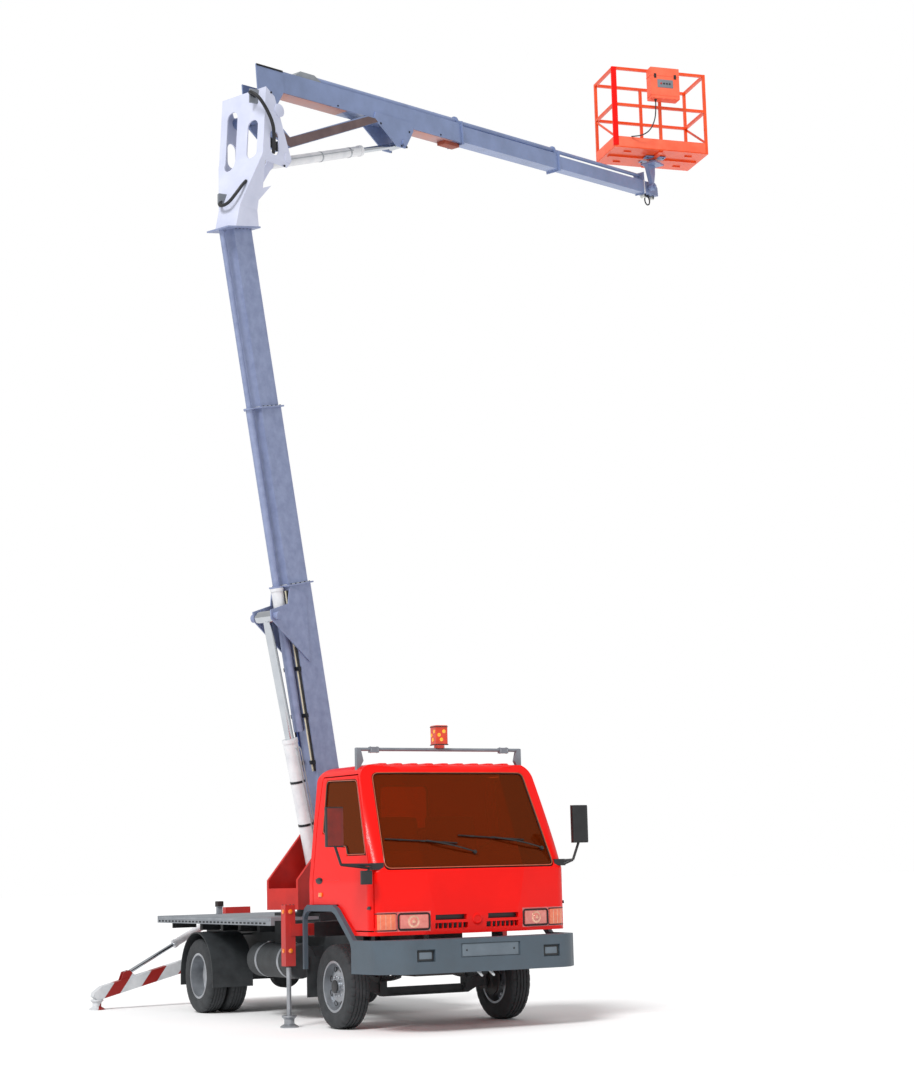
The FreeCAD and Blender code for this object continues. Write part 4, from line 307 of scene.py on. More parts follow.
# black rubber: dull extruded strip with a faint sheen
black_rubber = coated("black_seal_rubber", "#241410", "#1C1210", grain=900, rough=(0.5, 0.7), bump=0.1, dust=0.0,
                      patch=9.0)
# painted highlight: a thin bright orange strip that stands for the light caught along each seal
seal_highlight = coated("painted_seal_highlight", "#D0623A", "#B8522E", grain=900, rough=(0.3, 0.4), bump=0.03, dust=0.0,
              patch=9.0)
SCREEN = [(-866, 1430), (866, 1430), (786, 2292), (-786, 2292)]
REAR = [(-255, 1810), (255, 1810), (255, 2220), (-255, 2220)]
SIDE = [(-141, 1775), (-20, 1765), (16, 1655), (373, 1642), (410, 1565), (790, 1565), (502, 2215), (463, 2236),
        (-122, 2252), (-148, 2226)]
panes = [("screen", SCREEN, 60, "chassis", "cab_windows", (-1, 0, 0)),
         ("rear_window", REAR, 60, "chassis", "cab_windows", (1, 0, 0)),
         ("right_window", SIDE, 30, "door_right", "door_glass_right", (0, 1, 0)),
         ("left_window", SIDE, 30, "door_left", "door_glass_left", (0, -1, 0))]
for name, corners, radius, body, node, way in panes:
    skin = skin_of(node)
    bm = bmesh.new()
    line, bright = [], []
    for p in dense(rounded(corners, radius), 60):
        start = (truck(-way[0] * 3000, p.x, p.y) if way[0] else truck(p.x, -way[1] * 3000, p.y))
        place, normal = drop(skin, start, way)
        line.append(place + normal * 0.006)
        bright.append(place + normal * 0.0115)
    pipe(bm, line, 0.009, 8, 0, loop=True)
    # the thinner orange line over the rubber is painted highlight
    pipe(bm, bright, 0.0045, 6, 1, loop=True)
    piece(f"{name}_seal", bm, [black_rubber, seal_highlight], body)


# --- Wipers ---
# Two black wipers on the windscreen: 14 mm arms from low pivots, 690 mm blades with a rubber edge.
# Each stands on a stepped boss.
def extrude(bm, outline, push, mat=0, bevel=0.0):
    """A closed prism: a flat outline pushed along a vector, with its edges rounded."""
    base = [bm.verts.new(p) for p in outline]
    top = [bm.verts.new(Vector(p) + Vector(push)) for p in outline]
    count = len(base)
    faces = [bm.faces.new(base[::-1]), bm.faces.new(top)]
    for i in range(count):
        faces.append(bm.faces.new((base[i], base[(i + 1) % count], top[(i + 1) % count], top[i])))
    for face in faces:
        face.material_index = mat
    bmesh.ops.recalc_face_normals(bm, faces=faces)
    if bevel:
        edges = list({e for f in faces for e in f.edges})
        made = bmesh.ops.bevel(bm, geom=edges, offset=bevel, segments=2, affect="EDGES", profile=0.6)
        for face in made["faces"]:
            face.material_index = mat


def block(bm, centre, sizes, mat=0, bevel=0.003, axes=None):
    """A box of given half sizes with rounded edges, along three axes (the truck's by default)."""
    ax, ay, az = axes or (Vector((1, 0, 0)), Vector((0, 1, 0)), Vector((0, 0, 1)))
    a, b, c = sizes
    outline = [centre + ax * a * i + ay * b * j - az * c for i, j in ((-1, -1), (1, -1), (1, 1), (-1, 1))]
    extrude(bm, outline, az * 2 * c, mat, bevel)


def lathe(bm, profile, origin, axis, steps=32, mat=0):
    """A closed turned shape: (distance along the axis, radius) pairs from one pole to the other."""
    axis = Vector(axis).normalized()
    u = axis.orthogonal().normalized()
    w = axis.cross(u)
    rings = []
    for along, radius in profile:
        if radius < 1e-6:
            rings.append([bm.verts.new(origin + axis * along)])
        else:
            rings.append([bm.verts.new(origin + axis * along + (u * math.cos(t) + w * math.sin(t)) * radius)
                          for t in (2 * math.pi * k / steps for k in range(steps))])
    faces = []
    for first, second in zip(rings, rings[1:]):
        for k in range(steps):
            n = (k + 1) % steps
            corners = [first[k % len(first)], first[n % len(first)], second[n % len(second)],
                       second[k % len(second)]]
            corners = [c for i, c in enumerate(corners) if c not in corners[:i]]
            if len(corners) > 2:
                faces.append(bm.faces.new(corners))
    for face in faces:
        face.material_index = mat
    bmesh.ops.recalc_face_normals(bm, faces=faces)


screen_skin = skin_of("cab_windows")


def on_screen(y, z, lift):
    """A point over the windscreen, lifted off the glass."""
    place, normal = drop(screen_skin, truck(3000, y, z), (-1, 0, 0))
    return place + normal * lift


for name, pivot, middle, blade in (
        ("wiper_right", (40, 1560), (-430, 1668), ((-810, 1690), (-120, 1642))),
        ("wiper_left", (780, 1585), (250, 1690), ((-90, 1712), (590, 1662)))):
    bm = bmesh.new()
    arm = [on_screen(*[a + (b - a) * t for a, b in zip(pivot, middle)], 0.018 + 0.02 * math.sin(math.pi * t))
           for t in (k / 8 for k in range(9))]
    pipe(bm, arm, 0.007, 8)
    foot = on_screen(*pivot, 0.0)
    lathe(bm, [(-0.004, 0), (-0.004, 0.02), (0.02, 0.018), (0.026, 0.012), (0.028, 0)], foot,
          drop(screen_skin, truck(3000, *pivot), (-1, 0, 0))[1], 20)
    ends = [[a + (b - a) * t for a, b in zip(*blade)] for t in (k / 12 for k in range(13))]
    pipe(bm, [on_screen(*p, 0.014) for p in ends], 0.006, 6)
    pipe(bm, [on_screen(*p, 0.004) for p in ends], 0.003, 6)
    for t in (0.2, 0.5, 0.8):
        p = [a + (b - a) * t for a, b in zip(*blade)]
        block(bm, on_screen(*p, 0.014), (0.006, 0.02, 0.007), bevel=0.002)
    piece(name, bm, [black_plastic], "chassis")


# --- Cowl band ---
# A moulded brown plastic band behind the foot of the windscreen, 165 mm high, with two dark air
# slots; it follows the glass from the inside.
def patch(bm, hit, us, vs, lift, sink, mat=0):
    """A closed sheet that follows a surface: hit(u, v) gives a point and its outward direction."""
    outer, inner = [], []
    for v in vs:
        spots = [hit(u, v) for u in us]
        outer.append([bm.verts.new(p + n * lift) for p, n in spots])
        inner.append([bm.verts.new(p - n * sink) for p, n in spots])
    faces = []
    for rows in (outer, inner):
        for a, b in zip(rows, rows[1:]):
            for k in range(len(us) - 1):
                faces.append(bm.faces.new((a[k], a[k + 1], b[k + 1], b[k])))
    rim = lambda rows: (rows[0] + [r[-1] for r in rows[1:-1]] + rows[-1][::-1]
                        + [r[0] for r in rows[-2:0:-1]])
    a, b = rim(outer), rim(inner)
    for k in range(len(a)):
        n = (k + 1) % len(a)
        faces.append(bm.faces.new((a[k], a[n], b[n], b[k])))
    for face in faces:
        face.material_index = mat
    bmesh.ops.recalc_face_normals(bm, faces=faces)


def spread(low, high, count):
    """Evenly spaced values from low to high, with both ends."""
    return [low + (high - low) * k / (count - 1) for k in range(count)]


# brown dash plastic: warm, dull, with a soft grain
brown_plastic = coated("brown_dash_plastic", "#7A3A20", "#6A301A", grain=1200, rough=(0.5, 0.65), bump=0.1,
                       dust=0.0, patch=6.0)
bm = bmesh.new()
patch(bm, lambda y, z: drop(screen_skin, truck(3000, y, z), (-1, 0, 0)), spread(-855, 855, 24),
      spread(1428, 1592, 5), -0.014, 0.018)
for y0, y1 in ((-830, -480), (430, 840)):
    patch(bm, lambda y, z: drop(screen_skin, truck(3000, y, z), (-1, 0, 0)), spread(y0, y1, 10),
          spread(1448, 1468, 3), -0.0125, 0.016, 1)
piece("cowl_band", bm, [brown_plastic, black_plastic], "chassis")


# --- Door handles, swage lines and repeaters ---
# On each door: a 145 mm oval black handle cup with a grip bar, a low pressed line ahead of it, an
# amber repeater and a small dark vent slot.
# amber repeater lens: clear moulded acrylic that glows orange
amber = coated("amber_lens", "#F08418", "#E07410", grain=80, rough=(0.08, 0.15), bump=0.03, coat=1.0, dust=0.0,
               patch=12.0)
for side, body in ((-1, "door_right"), (1, "door_left")):
    skin = skin_of(body)
    hit = lambda x, z: drop(skin, truck(x, side * 3000, z), (0, -side, 0))
    bm = bmesh.new()
    place, normal = hit(-140, 1338)
    along, rise = Vector((1, 0, 0)), normal.cross(Vector((1, 0, 0))).normalized()
    oval = [place - normal * 0.004 + along * 0.072 * math.cos(t) + rise * 0.03 * math.sin(t)
            for t in (2 * math.pi * k / 28 for k in range(28))]
    extrude(bm, oval, normal * 0.007, 0, 0.0015)
    block(bm, place + normal * 0.009 + rise * 0.008, (0.055, 0.008, 0.006), 0, 0.003, (along, rise, normal))
    place, normal = hit(882, 1093)
    block(bm, place, (0.032, 0.014, 0.004), 0, 0.002, (along, rise, normal))
    place, normal = hit(-108, 1212)
    block(bm, place + normal * 0.003, (0.034, 0.019, 0.008), 1, 0.004, (along, rise, normal))
    line = [hit(x, 1342)[0] for x in spread(-50, 300, 12)]
    pipe(bm, line, 0.0035, 8, 2)
    piece(f"{body}_fittings", bm, [black_plastic, amber, cab_red], body)


# --- Roof ribs and grille slats ---
# One node tree makes what repeats: its inputs set the count, the step and turn between copies and
# the centre they turn round; the copies become a plain mesh.
def repeater():
    """The node tree that copies a shape along a line while it turns each copy."""
    tree = bpy.data.node_groups.new("repeat_shape", "GeometryNodeTree")
    sockets = [("Shape", "NodeSocketGeometry"), ("Count", "NodeSocketInt"), ("Step", "NodeSocketVector"),
               ("Centre", "NodeSocketVector"), ("Axis", "NodeSocketVector"), ("Turn", "NodeSocketFloat"),
               ("Material", "NodeSocketMaterial")]
    for name, kind in sockets:
        tree.interface.new_socket(name=name, in_out="INPUT", socket_type=kind)
    tree.interface.new_socket(name="Geometry", in_out="OUTPUT", socket_type="NodeSocketGeometry")
    given = add(tree, "NodeGroupInput", {}).outputs
    line = add(tree, "GeometryNodeMeshLine", {"Count": given["Count"], "Start Location": given["Centre"],
                                              "Offset": given["Step"]})
    index = add(tree, "GeometryNodeInputIndex", {})
    angle = add(tree, "ShaderNodeMath", {0: index.outputs[0], 1: given["Turn"]}, operation="MULTIPLY")
    turn = add(tree, "FunctionNodeAxisAngleToRotation", {"Axis": given["Axis"], "Angle": angle.outputs[0]})
    copies = add(tree, "GeometryNodeInstanceOnPoints", {"Points": line.outputs[0], "Instance": given["Shape"],
                                                        "Rotation": turn.outputs[0]})
    real = add(tree, "GeometryNodeRealizeInstances", {"Geometry": copies.outputs[0]})
    done = add(tree, "GeometryNodeSetMaterial", {"Geometry": real.outputs[0], "Material": given["Material"]})
    add(tree, "NodeGroupOutput", {"Geometry": done.outputs[0]})
    return tree


repeat_tree = repeater()


def repeat(name, bm, mat, body, count, step=(0, 0, 0), centre=(0, 0, 0), axis=(0, 0, 1), turn=0.0):
    """Copies one small shape, drawn about its centre, along a line or round an axis."""
    obj = piece(name, bm, [mat], body)
    way = obj.modifiers.new("repeat", "NODES")
    way.node_group = repeat_tree
    values = {"Count": count, "Step": step, "Centre": centre, "Axis": axis, "Turn": turn, "Material": mat}
    for item in repeat_tree.interface.items_tree:
        if item.in_out == "INPUT" and item.name in values:
            way[item.identifier] = values[item.name]
    bpy.context.view_layer.update()
    mesh = bpy.data.meshes.new_from_object(obj.evaluated_get(bpy.context.evaluated_depsgraph_get()))
    obj.modifiers.remove(way)
    obj.data = mesh
    return obj


# nine lengthwise pressings along the roof's front edge, 15 mm high in the cab's own red
bm = bmesh.new()
roof_skin = skin_of("cab_shell")
profile = []
for x in spread(575, -200, 12):
    height = drop(roof_skin, truck(x, 0, 4000), (0, 0, -1))[0].z
    profile.append((x, height * 1000 + (15 if -190 < x < 560 else 0)))
foot = [(x, z - 25) for x, z in profile[::-1]]
extrude(bm, [truck(x, -640 - 32, z) - truck(0, 0, 0) for x, z in profile + foot], Vector((0, 0.064, 0)), 0, 0.006)
repeat("roof_ribs", bm, cab_red, "chassis", 9, (0, 0.16, 0), truck(0, 0, 0))
# upright slats of 8 mm in the lower grille slots
for side in (-1, 1):
    bm = bmesh.new()
    block(bm, truck(1046, side * 150, 922) - truck(0, 0, 0), (0.012, 0.004, 0.026), 0, 0.001)
    repeat(f"grille_slats_{'left' if side > 0 else 'right'}", bm, cab_red, "chassis", 6,
           (-0.0035, side * 0.048, 0), truck(0, 0, 0))


# --- Headlamps and grille badge place ---
# Square lamp lenses 250 x 114 mm in dark frames with a round inner bowl, clear-edged indicators
# outside them, a plain round boss between the grille slots.
# pink lamp glass: ribbed lens over a bright bowl
lamp_glass = coated("pink_lamp_glass", "#E0605C", "#CE5050", grain=60, rough=(0.06, 0.14), bump=0.02, coat=1.0,
                    dust=0.1, patch=14.0)
dress(lamp_glass, "headlamps")
front_skin = skin_of("headlamps", "front_panel", "cab_shell")
front = lambda y, z: drop(front_skin, truck(3000, y, z), (-1, 0, 0))
# rose lamp lens: ribbed acrylic, wet-looking gloss
lens = coated("rose_lamp_lens", "#E88478", "#D86E62", grain=160, rough=(0.05, 0.12), bump=0.12, coat=1.0,
              dust=0.0, patch=20.0)
# warm lamp bowl: metallised reflector, soft and pinkish
bowl = coated("warm_lamp_bowl", "#F4C0A4", "#E8A284", grain=120, rough=(0.1, 0.2), metal=0.5, bump=0.05,
              coat=1.0, dust=0.0, patch=20.0)
# orange indicator lens: ribbed acrylic, clear gloss
turn_lens = coated("orange_indicator_lens", "#F47A4C", "#E2603C", grain=160, rough=(0.06, 0.14), bump=0.12,
                   coat=1.0, dust=0.0, patch=20.0)
for side in (-1, 1):
    bm = bmesh.new()
    frame_line = [front(side * p.x, p.y) for p in dense(rounded([(482, 897), (764, 897), (764, 1036),
                                                                 (482, 1036)], 26), 40)]
    pipe(bm, [p + n * 0.001 for p, n in frame_line], 0.0085, 8, 0, loop=True)
    edge_line = [front(side * p.x, p.y)[0] for p in dense(rounded([(778, 893), (982, 893), (982, 1041),
                                                                   (778, 1041)], 20), 40)]
    pipe(bm, edge_line, 0.005, 6, 0, loop=True)
    patch(bm, lambda y, z: front(side * y, z), spread(498, 748, 12), spread(910, 1024, 7), 0.005, 0.002, 1)
    for ring, mat, lift in ((0.056, 2, 0.0055), (0.036, 1, 0.011), (0.018, 2, 0.015)):
        p, n = front(side * 628, 967)
        lathe(bm, [(lift - 0.008, 0), (lift - 0.008, ring), (lift, ring * 0.96), (lift + 0.003, ring * 0.5),
                   (lift + 0.0035, 0)], p, n, 28, mat)
    patch(bm, lambda y, z: front(side * y, z), spread(792, 968, 10), spread(900, 1034, 7), 0.005, 0.002, 3)
    for y in (835, 880, 925):
        pipe(bm, [front(side * y, z)[0] + front(side * y, z)[1] * 0.005 for z in spread(906, 1028, 6)],
             0.0025, 6, 2)
    piece(f"lamp_detail_{'left' if side > 0 else 'right'}", bm, [black_rubber, lens, bowl, turn_lens], "chassis")
bm = bmesh.new()
p, n = front(0, 972)
lathe(bm, [(-0.004, 0), (-0.004, 0.05), (0.004, 0.05), (0.008, 0.044), (0.009, 0.034), (0.006, 0.03),
           (0.007, 0)], p, n, 36)
piece("grille_boss", bm, [cab_red], "chassis")


# --- Bumper fittings ---
# Blank plate 570 x 110 mm on the moulded bumper and two fog lamps 156 mm wide in its recesses;
# two white steel tow hooks are bolted below it.
# moulded grey plastic: fine leather grain that kills the gloss
grey_plastic = coated("moulded_grey_plastic", "#475662", "#3F4D58", grain=1600, rough=(0.45, 0.6), bump=0.15,
                      dust=0.4, patch=5.0)
dress(grey_plastic, "bumper_and_flares")
# blank plate plastic: flat mid grey, slightly dusty
plate_grey = coated("blank_plate_plastic", "#66727C", "#5C6872", grain=900, rough=(0.4, 0.5), bump=0.05,
                    dust=0.2, patch=5.0)
bm = bmesh.new()
block(bm, truck(1277, 0, 709), (0.006, 0.285, 0.055), 0, 0.004)
for y in (-240, 240):
    lathe(bm, [(0, 0), (0, 0.009), (0.004, 0.008), (0.006, 0)], truck(1282, y, 709), (1, 0, 0), 16, 1)
bumper_skin = skin_of("bumper_and_flares")
for side in (-1, 1):
    p, n = drop(bumper_skin, truck(3000, side * 637, 675), (-1, 0, 0))
    block(bm, p + n * 0.004, (0.006, 0.078, 0.043), 1, 0.004)
    block(bm, p + n * 0.008, (0.006, 0.062, 0.03), 0, 0.006)
piece("bumper_plate_and_fogs", bm, [plate_grey, black_plastic], "chassis")
# white hook paint: chalky and chipped
hook_white = coated("white_hook_paint", "#E0E4E6", "#C8CCD0", grain=500, rough=(0.4, 0.55), bump=0.1, dust=0.3,
                    patch=12.0)
bm = bmesh.new()
for y in (-95, 25):
    loop = [truck(1180, y, 540), truck(1215, y, 520), truck(1238, y + 10, 497), truck(1232, y + 30, 482),
            truck(1205, y + 42, 482), truck(1180, y + 45, 500), truck(1160, y + 45, 530)]
    pipe(bm, loop, 0.011, 10)
piece("tow_hooks", bm, [hook_white], "chassis")


# --- Seats ---
# Driver's seat and double passenger seat: crowned cushions with pulled-in sides and stitched
# piping, in woven brown cloth; they are padded pieces and stand for the CAD blocks.
# seat cloth: woven brown-black fabric
fabric = coated("woven_seat_cloth", "#7A4C38", "#66402F", grain=700, rough=(0.8, 0.95), bump=0.5, dust=0.0,
                patch=8.0)
dress(fabric, "seats")


def cushion(bm, corner, u, v, w, crown, mat=0):
    """A stuffed block from one corner and its three edges, fat in the middle of every face."""
    steps = 9
    made = {}

    def spot(i, j, k):
        if (i, j, k) not in made:
            a, b, c = (2 * n / (steps - 1) - 1 for n in (i, j, k))
            bulge = [crown * (1 - p * p) * (1 - q * q) for p, q in ((b, c), (a, c), (a, b))]
            round_off = [1 - 0.11 * (p * p * p * p * q * q * q * q) - 0.03 * (q * q)
                         for p, q in ((b, c), (a, c), (a, b))]
            place = corner + (u + v + w) / 2
            for edge, t, grow, keep in zip((u, v, w), (a, b, c), bulge, round_off):
                place = place + edge / 2 * t * keep + edge.normalized() * t ** 3 * grow
            made[(i, j, k)] = bm.verts.new(place)
        return made[(i, j, k)]

    faces = []
    last = steps - 1
    for i in range(last):
        for j in range(last):
            square = ((i, j), (i + 1, j), (i + 1, j + 1), (i, j + 1))
            for end in (0, last):
                for corners in ([(p, q, end) for p, q in square], [(p, end, q) for p, q in square],
                                [(end, p, q) for p, q in square]):
                    faces.append(bm.faces.new([spot(*place) for place in corners]))
    for face in faces:
        face.material_index = mat
    bmesh.ops.recalc_face_normals(bm, faces=faces)
    ring = [spot(*p).co.copy() for p in [(i, 0, last) for i in range(last)] + [(last, i, last) for i in range(last)]
            + [(last - i, last, last) for i in range(last)] + [(0, last - i, last) for i in range(last)]]
    pipe(bm, ring, 0.006, 6, 1, loop=True)


# seat piping: dark matt cord that outlines each cushion
piping = coated("dark_seat_piping", "#33231D", "#2A1D18", grain=900, rough=(0.6, 0.7), bump=0.2, dust=0.0,
                patch=9.0)
for y0, y1, label in ((140, 680, "driver"), (-820, -385, "passenger_outer"), (-375, 60, "passenger_inner")):
    bm = bmesh.new()
    width = Vector((0, (y1 - y0 - 12) / 1000, 0))
    start = truck(-120, y0 + 6, 1140)
    cushion(bm, start, Vector((0.475, 0, 0)), width, Vector((0, 0, 0.215)), 0.012)
    piece(f"seat_cushion_{label}", bm, [fabric, piping], "chassis", 50)
    bm = bmesh.new()
    foot = truck(-62, y0 + 14, 1375)
    lean = truck(-162, y0 + 14, 1918) - foot
    across = width * 0.97
    cushion(bm, foot, across, lean, across.cross(lean).normalized() * -0.078, 0.008)
    piece(f"seat_back_{label}", bm, [fabric, piping], "chassis", 50)
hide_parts("seats")


# --- Mirrors and beacon ---
# Reddish-brown cap over the right mirror's head, glass facing back on all heads; yellow lamps and
# a black ring in the beacon, worm clips on the roof bar.
# grey powder coat: slight orange peel on the roof tube
powder_grey = coated("grey_powder_coat", "#7D828A", "#6E737B", grain=700, rough=(0.3, 0.42), bump=0.1,
                     patch=6.0)
dress(powder_grey, "roof_bar")
# red beacon dome: deep orange-red acrylic with a gloss skin
beacon_red = coated("orange_red_acrylic", "#E03C10", "#C42C0C", grain=90, rough=(0.06, 0.15), bump=0.03,
                    coat=1.0, dust=0.0, patch=10.0)
dress(beacon_red, "beacon")
# silvered glass: near-perfect bright reflection
mirror_glass = coated("silvered_mirror_glass", "#AEB6BC", "#A2AAB0", grain=50, rough=(0.02, 0.05), metal=1.0,
                      bump=0.0, dust=0.0, patch=6.0)
# red-brown cap: moulded plastic with a satin sheen
cap_brown = coated("red_brown_mirror_cap", "#7A1C10", "#5E160C", grain=1200, rough=(0.3, 0.4), bump=0.05,
                   dust=0.0, patch=8.0)
mirror_skin = skin_of("mirrors")
for label, y0, y1, z0, z1, mats in (("right", -1459, -1311, 1640, 1965, [cap_brown, mirror_glass]),
                                    ("left", 1056, 1204, 1640, 1965, [black_plastic, mirror_glass]),
                                    ("low", -1128, -1037, 1308, 1412, [black_plastic, mirror_glass])):
    bm = bmesh.new()
    patch(bm, lambda y, z: drop(mirror_skin, truck(3000, y, z), (-1, 0, 0)), spread(y0, y1, 9),
          spread(z0, z1, 9), 0.003, 0.002)
    patch(bm, lambda y, z: drop(mirror_skin, truck(-3000, y, z), (1, 0, 0)), spread(y0 + 22, y1 - 22, 5),
          spread(z0 + 22, z1 - 22, 7), 0.0015, 0.002, 1)
    piece(f"mirror_face_{label}", bm, mats, "chassis")
# yellow lamps: glossy acrylic that stands out of the red
lamp_yellow = coated("yellow_beacon_lamp", "#FFC21A", "#FFAE10", grain=60, rough=(0.1, 0.2), bump=0.0, coat=1.0,
                     dust=0.0, patch=14.0)
bm = bmesh.new()
for y, z in ((-32, 2655), (20, 2688), (-8, 2612)):
    for x_face, way in ((469, 1), (345, -1)):
        lathe(bm, [(-0.006, 0), (-0.006, 0.019), (0.002, 0.018), (0.005, 0.01), (0.006, 0)],
              truck(x_face, y, z), (way, 0, 0), 20, 0)
    lathe(bm, [(-0.006, 0), (-0.006, 0.019), (0.002, 0.018), (0.005, 0.01), (0.006, 0)],
          truck(407 + y, -62, z), (0, -1, 0), 20, 0)
ring = rounded([(-64, -64), (64, -64), (64, 64), (-64, 64)], 14)
pipe(bm, [truck(407 + p.x, p.y, 2566) for p in ring], 0.005, 6, 1, loop=True)
pipe(bm, [truck(407 + p.x * 0.99, p.y * 0.99, 2732) for p in ring], 0.004, 6, 1, loop=True)
piece("beacon_lamps", bm, [lamp_yellow, black_plastic], "chassis")
# silver wheel paint: fine metallic flake
silver = coated("silver_wheel_paint", "#B4B8BD", "#9DA1A7", grain=1200, rough=(0.3, 0.45), metal=0.7, bump=0.05,
                dust=0.45, patch=8.0)
bm = bmesh.new()
for y in (-720, -650, 650, 720):
    pipe(bm, [truck(407 + 22 * math.cos(t), y, 2517 + 27 * math.sin(t)) for t in
              (2 * math.pi * k / 16 for k in range(16))], 0.005, 6, 0, loop=True)
piece("roof_bar_clips", bm, [silver], "chassis")


# --- Tyres and wheels ---
# Tyres of 760 mm with a ribbed tread, shoulder lugs 8 mm deep and raised sidewall rings; wheel
# nuts, hub caps and, on the front rims, black rings of painted shade round the vent edges.
WHEEL_HEIGHT, WHEELBASE, FRONT_TRACK_HALF, REAR_TRACK_HALF = 380, 3210, 840, 784
# tyre rubber: charcoal, dusty, matt
rubber = coated("tyre_rubber", "#1B1E21", "#24272A", grain=500, rough=(0.65, 0.85), bump=0.25, dust=0.25,
                patch=10.0)
dress(rubber, "tyre_front_left", "tyre_front_right", "tyres_rear_left", "tyres_rear_right")
dress(silver, "rim_front_left", "rim_front_right", "rim_rear_left", "rim_rear_right")
# grey cast iron: rough sand-cast skin
cast_iron = coated("rough_cast_iron", "#3B3C3E", "#4C4741", grain=220, rough=(0.6, 0.8), metal=0.5, bump=0.5,
                   dust=0.6, patch=9.0)
dress(cast_iron, "knuckle_left", "knuckle_right")
# hard chrome: ground mirror rods with very fine scratches
chrome = coated("ground_hard_chrome", "#C9CDD2", "#BFC4CA", grain=1400, rough=(0.08, 0.2), metal=1.0,
                bump=0.03, dust=0.1, patch=9.0)


def bolt_head(sunk, radius, shoulder, height, top_radius):
    """The turned outline of a sunk head: straight to its shoulder, then chamfered to a flat top."""
    return [(-sunk, 0), (-sunk, radius), (shoulder, radius), (height, top_radius), (height, 0)]


def tyre(bm, wheel_x, centre_y, width):
    """One tyre: a turned section with lugs cut in its shoulders and small sipes in its tread."""
    steps = 150
    half = [(0.36, 223), (0.41, 226), (0.455, 240), (0.485, 262), (0.493, 268), (0.487, 274), (0.5, 300),
            (0.494, 326), (0.478, 346), (0.47, 350), (0.45, 362), (0.405, 372), (0.36, 376), (0.27, 378.4),
            (0.262, 370), (0.225, 370), (0.217, 379), (0.1, 379.6), (0.092, 371), (0.055, 371), (0.047, 379.8)]
    profile = [(-a, r) for a, r in half] + [(a, r) for a, r in half[::-1]]
    rings = []
    for k in range(steps):
        ring = []
        for a, r in profile:
            t = 2 * math.pi * k / steps
            cut = 0
            if r > 360 and abs(a) > 0.26 and (k + (a > 0) * 2) % 5 == 0:
                cut = 8
            if 374 < r and abs(a) < 0.24 and abs(a) > 0.09 and (k + 1) % 5 == 0:
                cut = 5
            ring.append(bm.verts.new(truck(wheel_x + (r - cut) * math.cos(t), centre_y + a * width,
                                           WHEEL_HEIGHT + (r - cut) * math.sin(t))))
        rings.append(ring)
    count = len(profile)
    faces = []
    for k in range(steps):
        a, b = rings[k], rings[(k + 1) % steps]
        for j in range(count):
            faces.append(bm.faces.new((a[j], a[(j + 1) % count], b[(j + 1) % count], b[j])))
    bmesh.ops.recalc_face_normals(bm, faces=faces)


for side, label in ((-1, "right"), (1, "left")):
    bm = bmesh.new()
    tyre(bm, 0, side * FRONT_TRACK_HALF, 215)
    made = piece(f"tread_front_{label}", bm, [rubber], f"wheel_front_{label}", 28)
    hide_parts(f"tyre_front_{label}")
    bm = bmesh.new()
    for offset in (-115, 115):
        tyre(bm, -WHEELBASE, side * REAR_TRACK_HALF + offset, 200)
    made = piece(f"tread_rear_{label}", bm, [rubber], f"wheel_rear_{label}", 28)
    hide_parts(f"tyres_rear_{label}")
    for end, wheel_x, nut_r, cap_r, cap_mat in (("front", 0, 92, 60, black_plastic),
                                                ("rear", -WHEELBASE, 118, 72, silver)):
        skin = skin_of(f"rim_{end}_{label}")
        face = lambda dx, dz: drop(skin, truck(wheel_x + dx, side * 3000, WHEEL_HEIGHT + dz), (0, -side, 0))
        hub, _ = face(0, 0)
        bm = bmesh.new()
        out = Vector((0, side, 0))
        nut, _ = face(nut_r, 0)
        seat = nut.y - hub.y
        for depth, radius in ((0.004, 0.019), (0.017, 0.0125)):
            lathe(bm, bolt_head(0.004, radius, depth - 0.002, depth, radius * 0.85),
                  Vector((nut_r / 1000, seat, 0)), out, 6 if radius < 0.015 else 18)
        repeat(f"wheel_nuts_{end}_{label}", bm, chrome if end == "front" else cast_iron, f"wheel_{end}_{label}", 6,
               centre=Vector((hub.x, hub.y, truck(0, 0, WHEEL_HEIGHT).z)), axis=out, turn=math.pi / 3)
        bm = bmesh.new()
        lathe(bm, [(-0.01, 0), (-0.01, cap_r / 1000), (0.002, cap_r / 1000), (0.008, cap_r / 1300),
                   (0.011, cap_r / 2600), (0.011, 0)], hub, out, 36)
        # black rings round each front vent, in the cap's material, are painted shade at the vent edges
        for k in range(8):
            t = math.radians(45 * k + 22.5)
            if end == "front":
                p, n = face(190 * math.cos(t), 190 * math.sin(t))
                oval = []
                for q in range(18):
                    w = 2 * math.pi * q / 18
                    r, a = 165 + 22 * math.sin(w), t + 0.17 * math.cos(w)
                    oval.append(Vector((wheel_x / 1000 + FRONT_AXLE_X + r / 1000 * math.cos(a),
                                        nut.y + side * 0.001, WHEEL_HEIGHT / 1000 + r / 1000 * math.sin(a))))
                inner = [drop(skin, Vector((v.x, side * 3.0 + FRONT_AXLE_Y, v.z)), (0, -side, 0))[0] for v in oval]
                proud = max((i.y for i in inner), key=lambda y: y * side)
                pipe(bm, [Vector((v.x, proud, v.z)) for v in oval], 0.004, 6, 0, loop=True)
        piece(f"hub_cap_{end}_{label}", bm, [cap_mat], f"wheel_{end}_{label}")


# --- Deck, tanks and rear end ---
# Edge rails with 60 x 18 mm slots drawn as dark plates of painted shade, rubber saddle cover, tank straps, a blank
# rear plate and square rear lamps.
# black chassis paint: matt, with road dust over most of it
chassis_black = coated("matt_black_chassis_paint", "#14181B", "#1F2427", grain=260, rough=(0.5, 0.7),
                       bump=0.2, dust=0.3, patch=7.0)
dress(chassis_black, "chassis_frame", "driveline", "front_axle", "rear_axle", "leaf_springs", "tanks",
      "subframe", "mudguards")
dress(cast_iron, "engine")
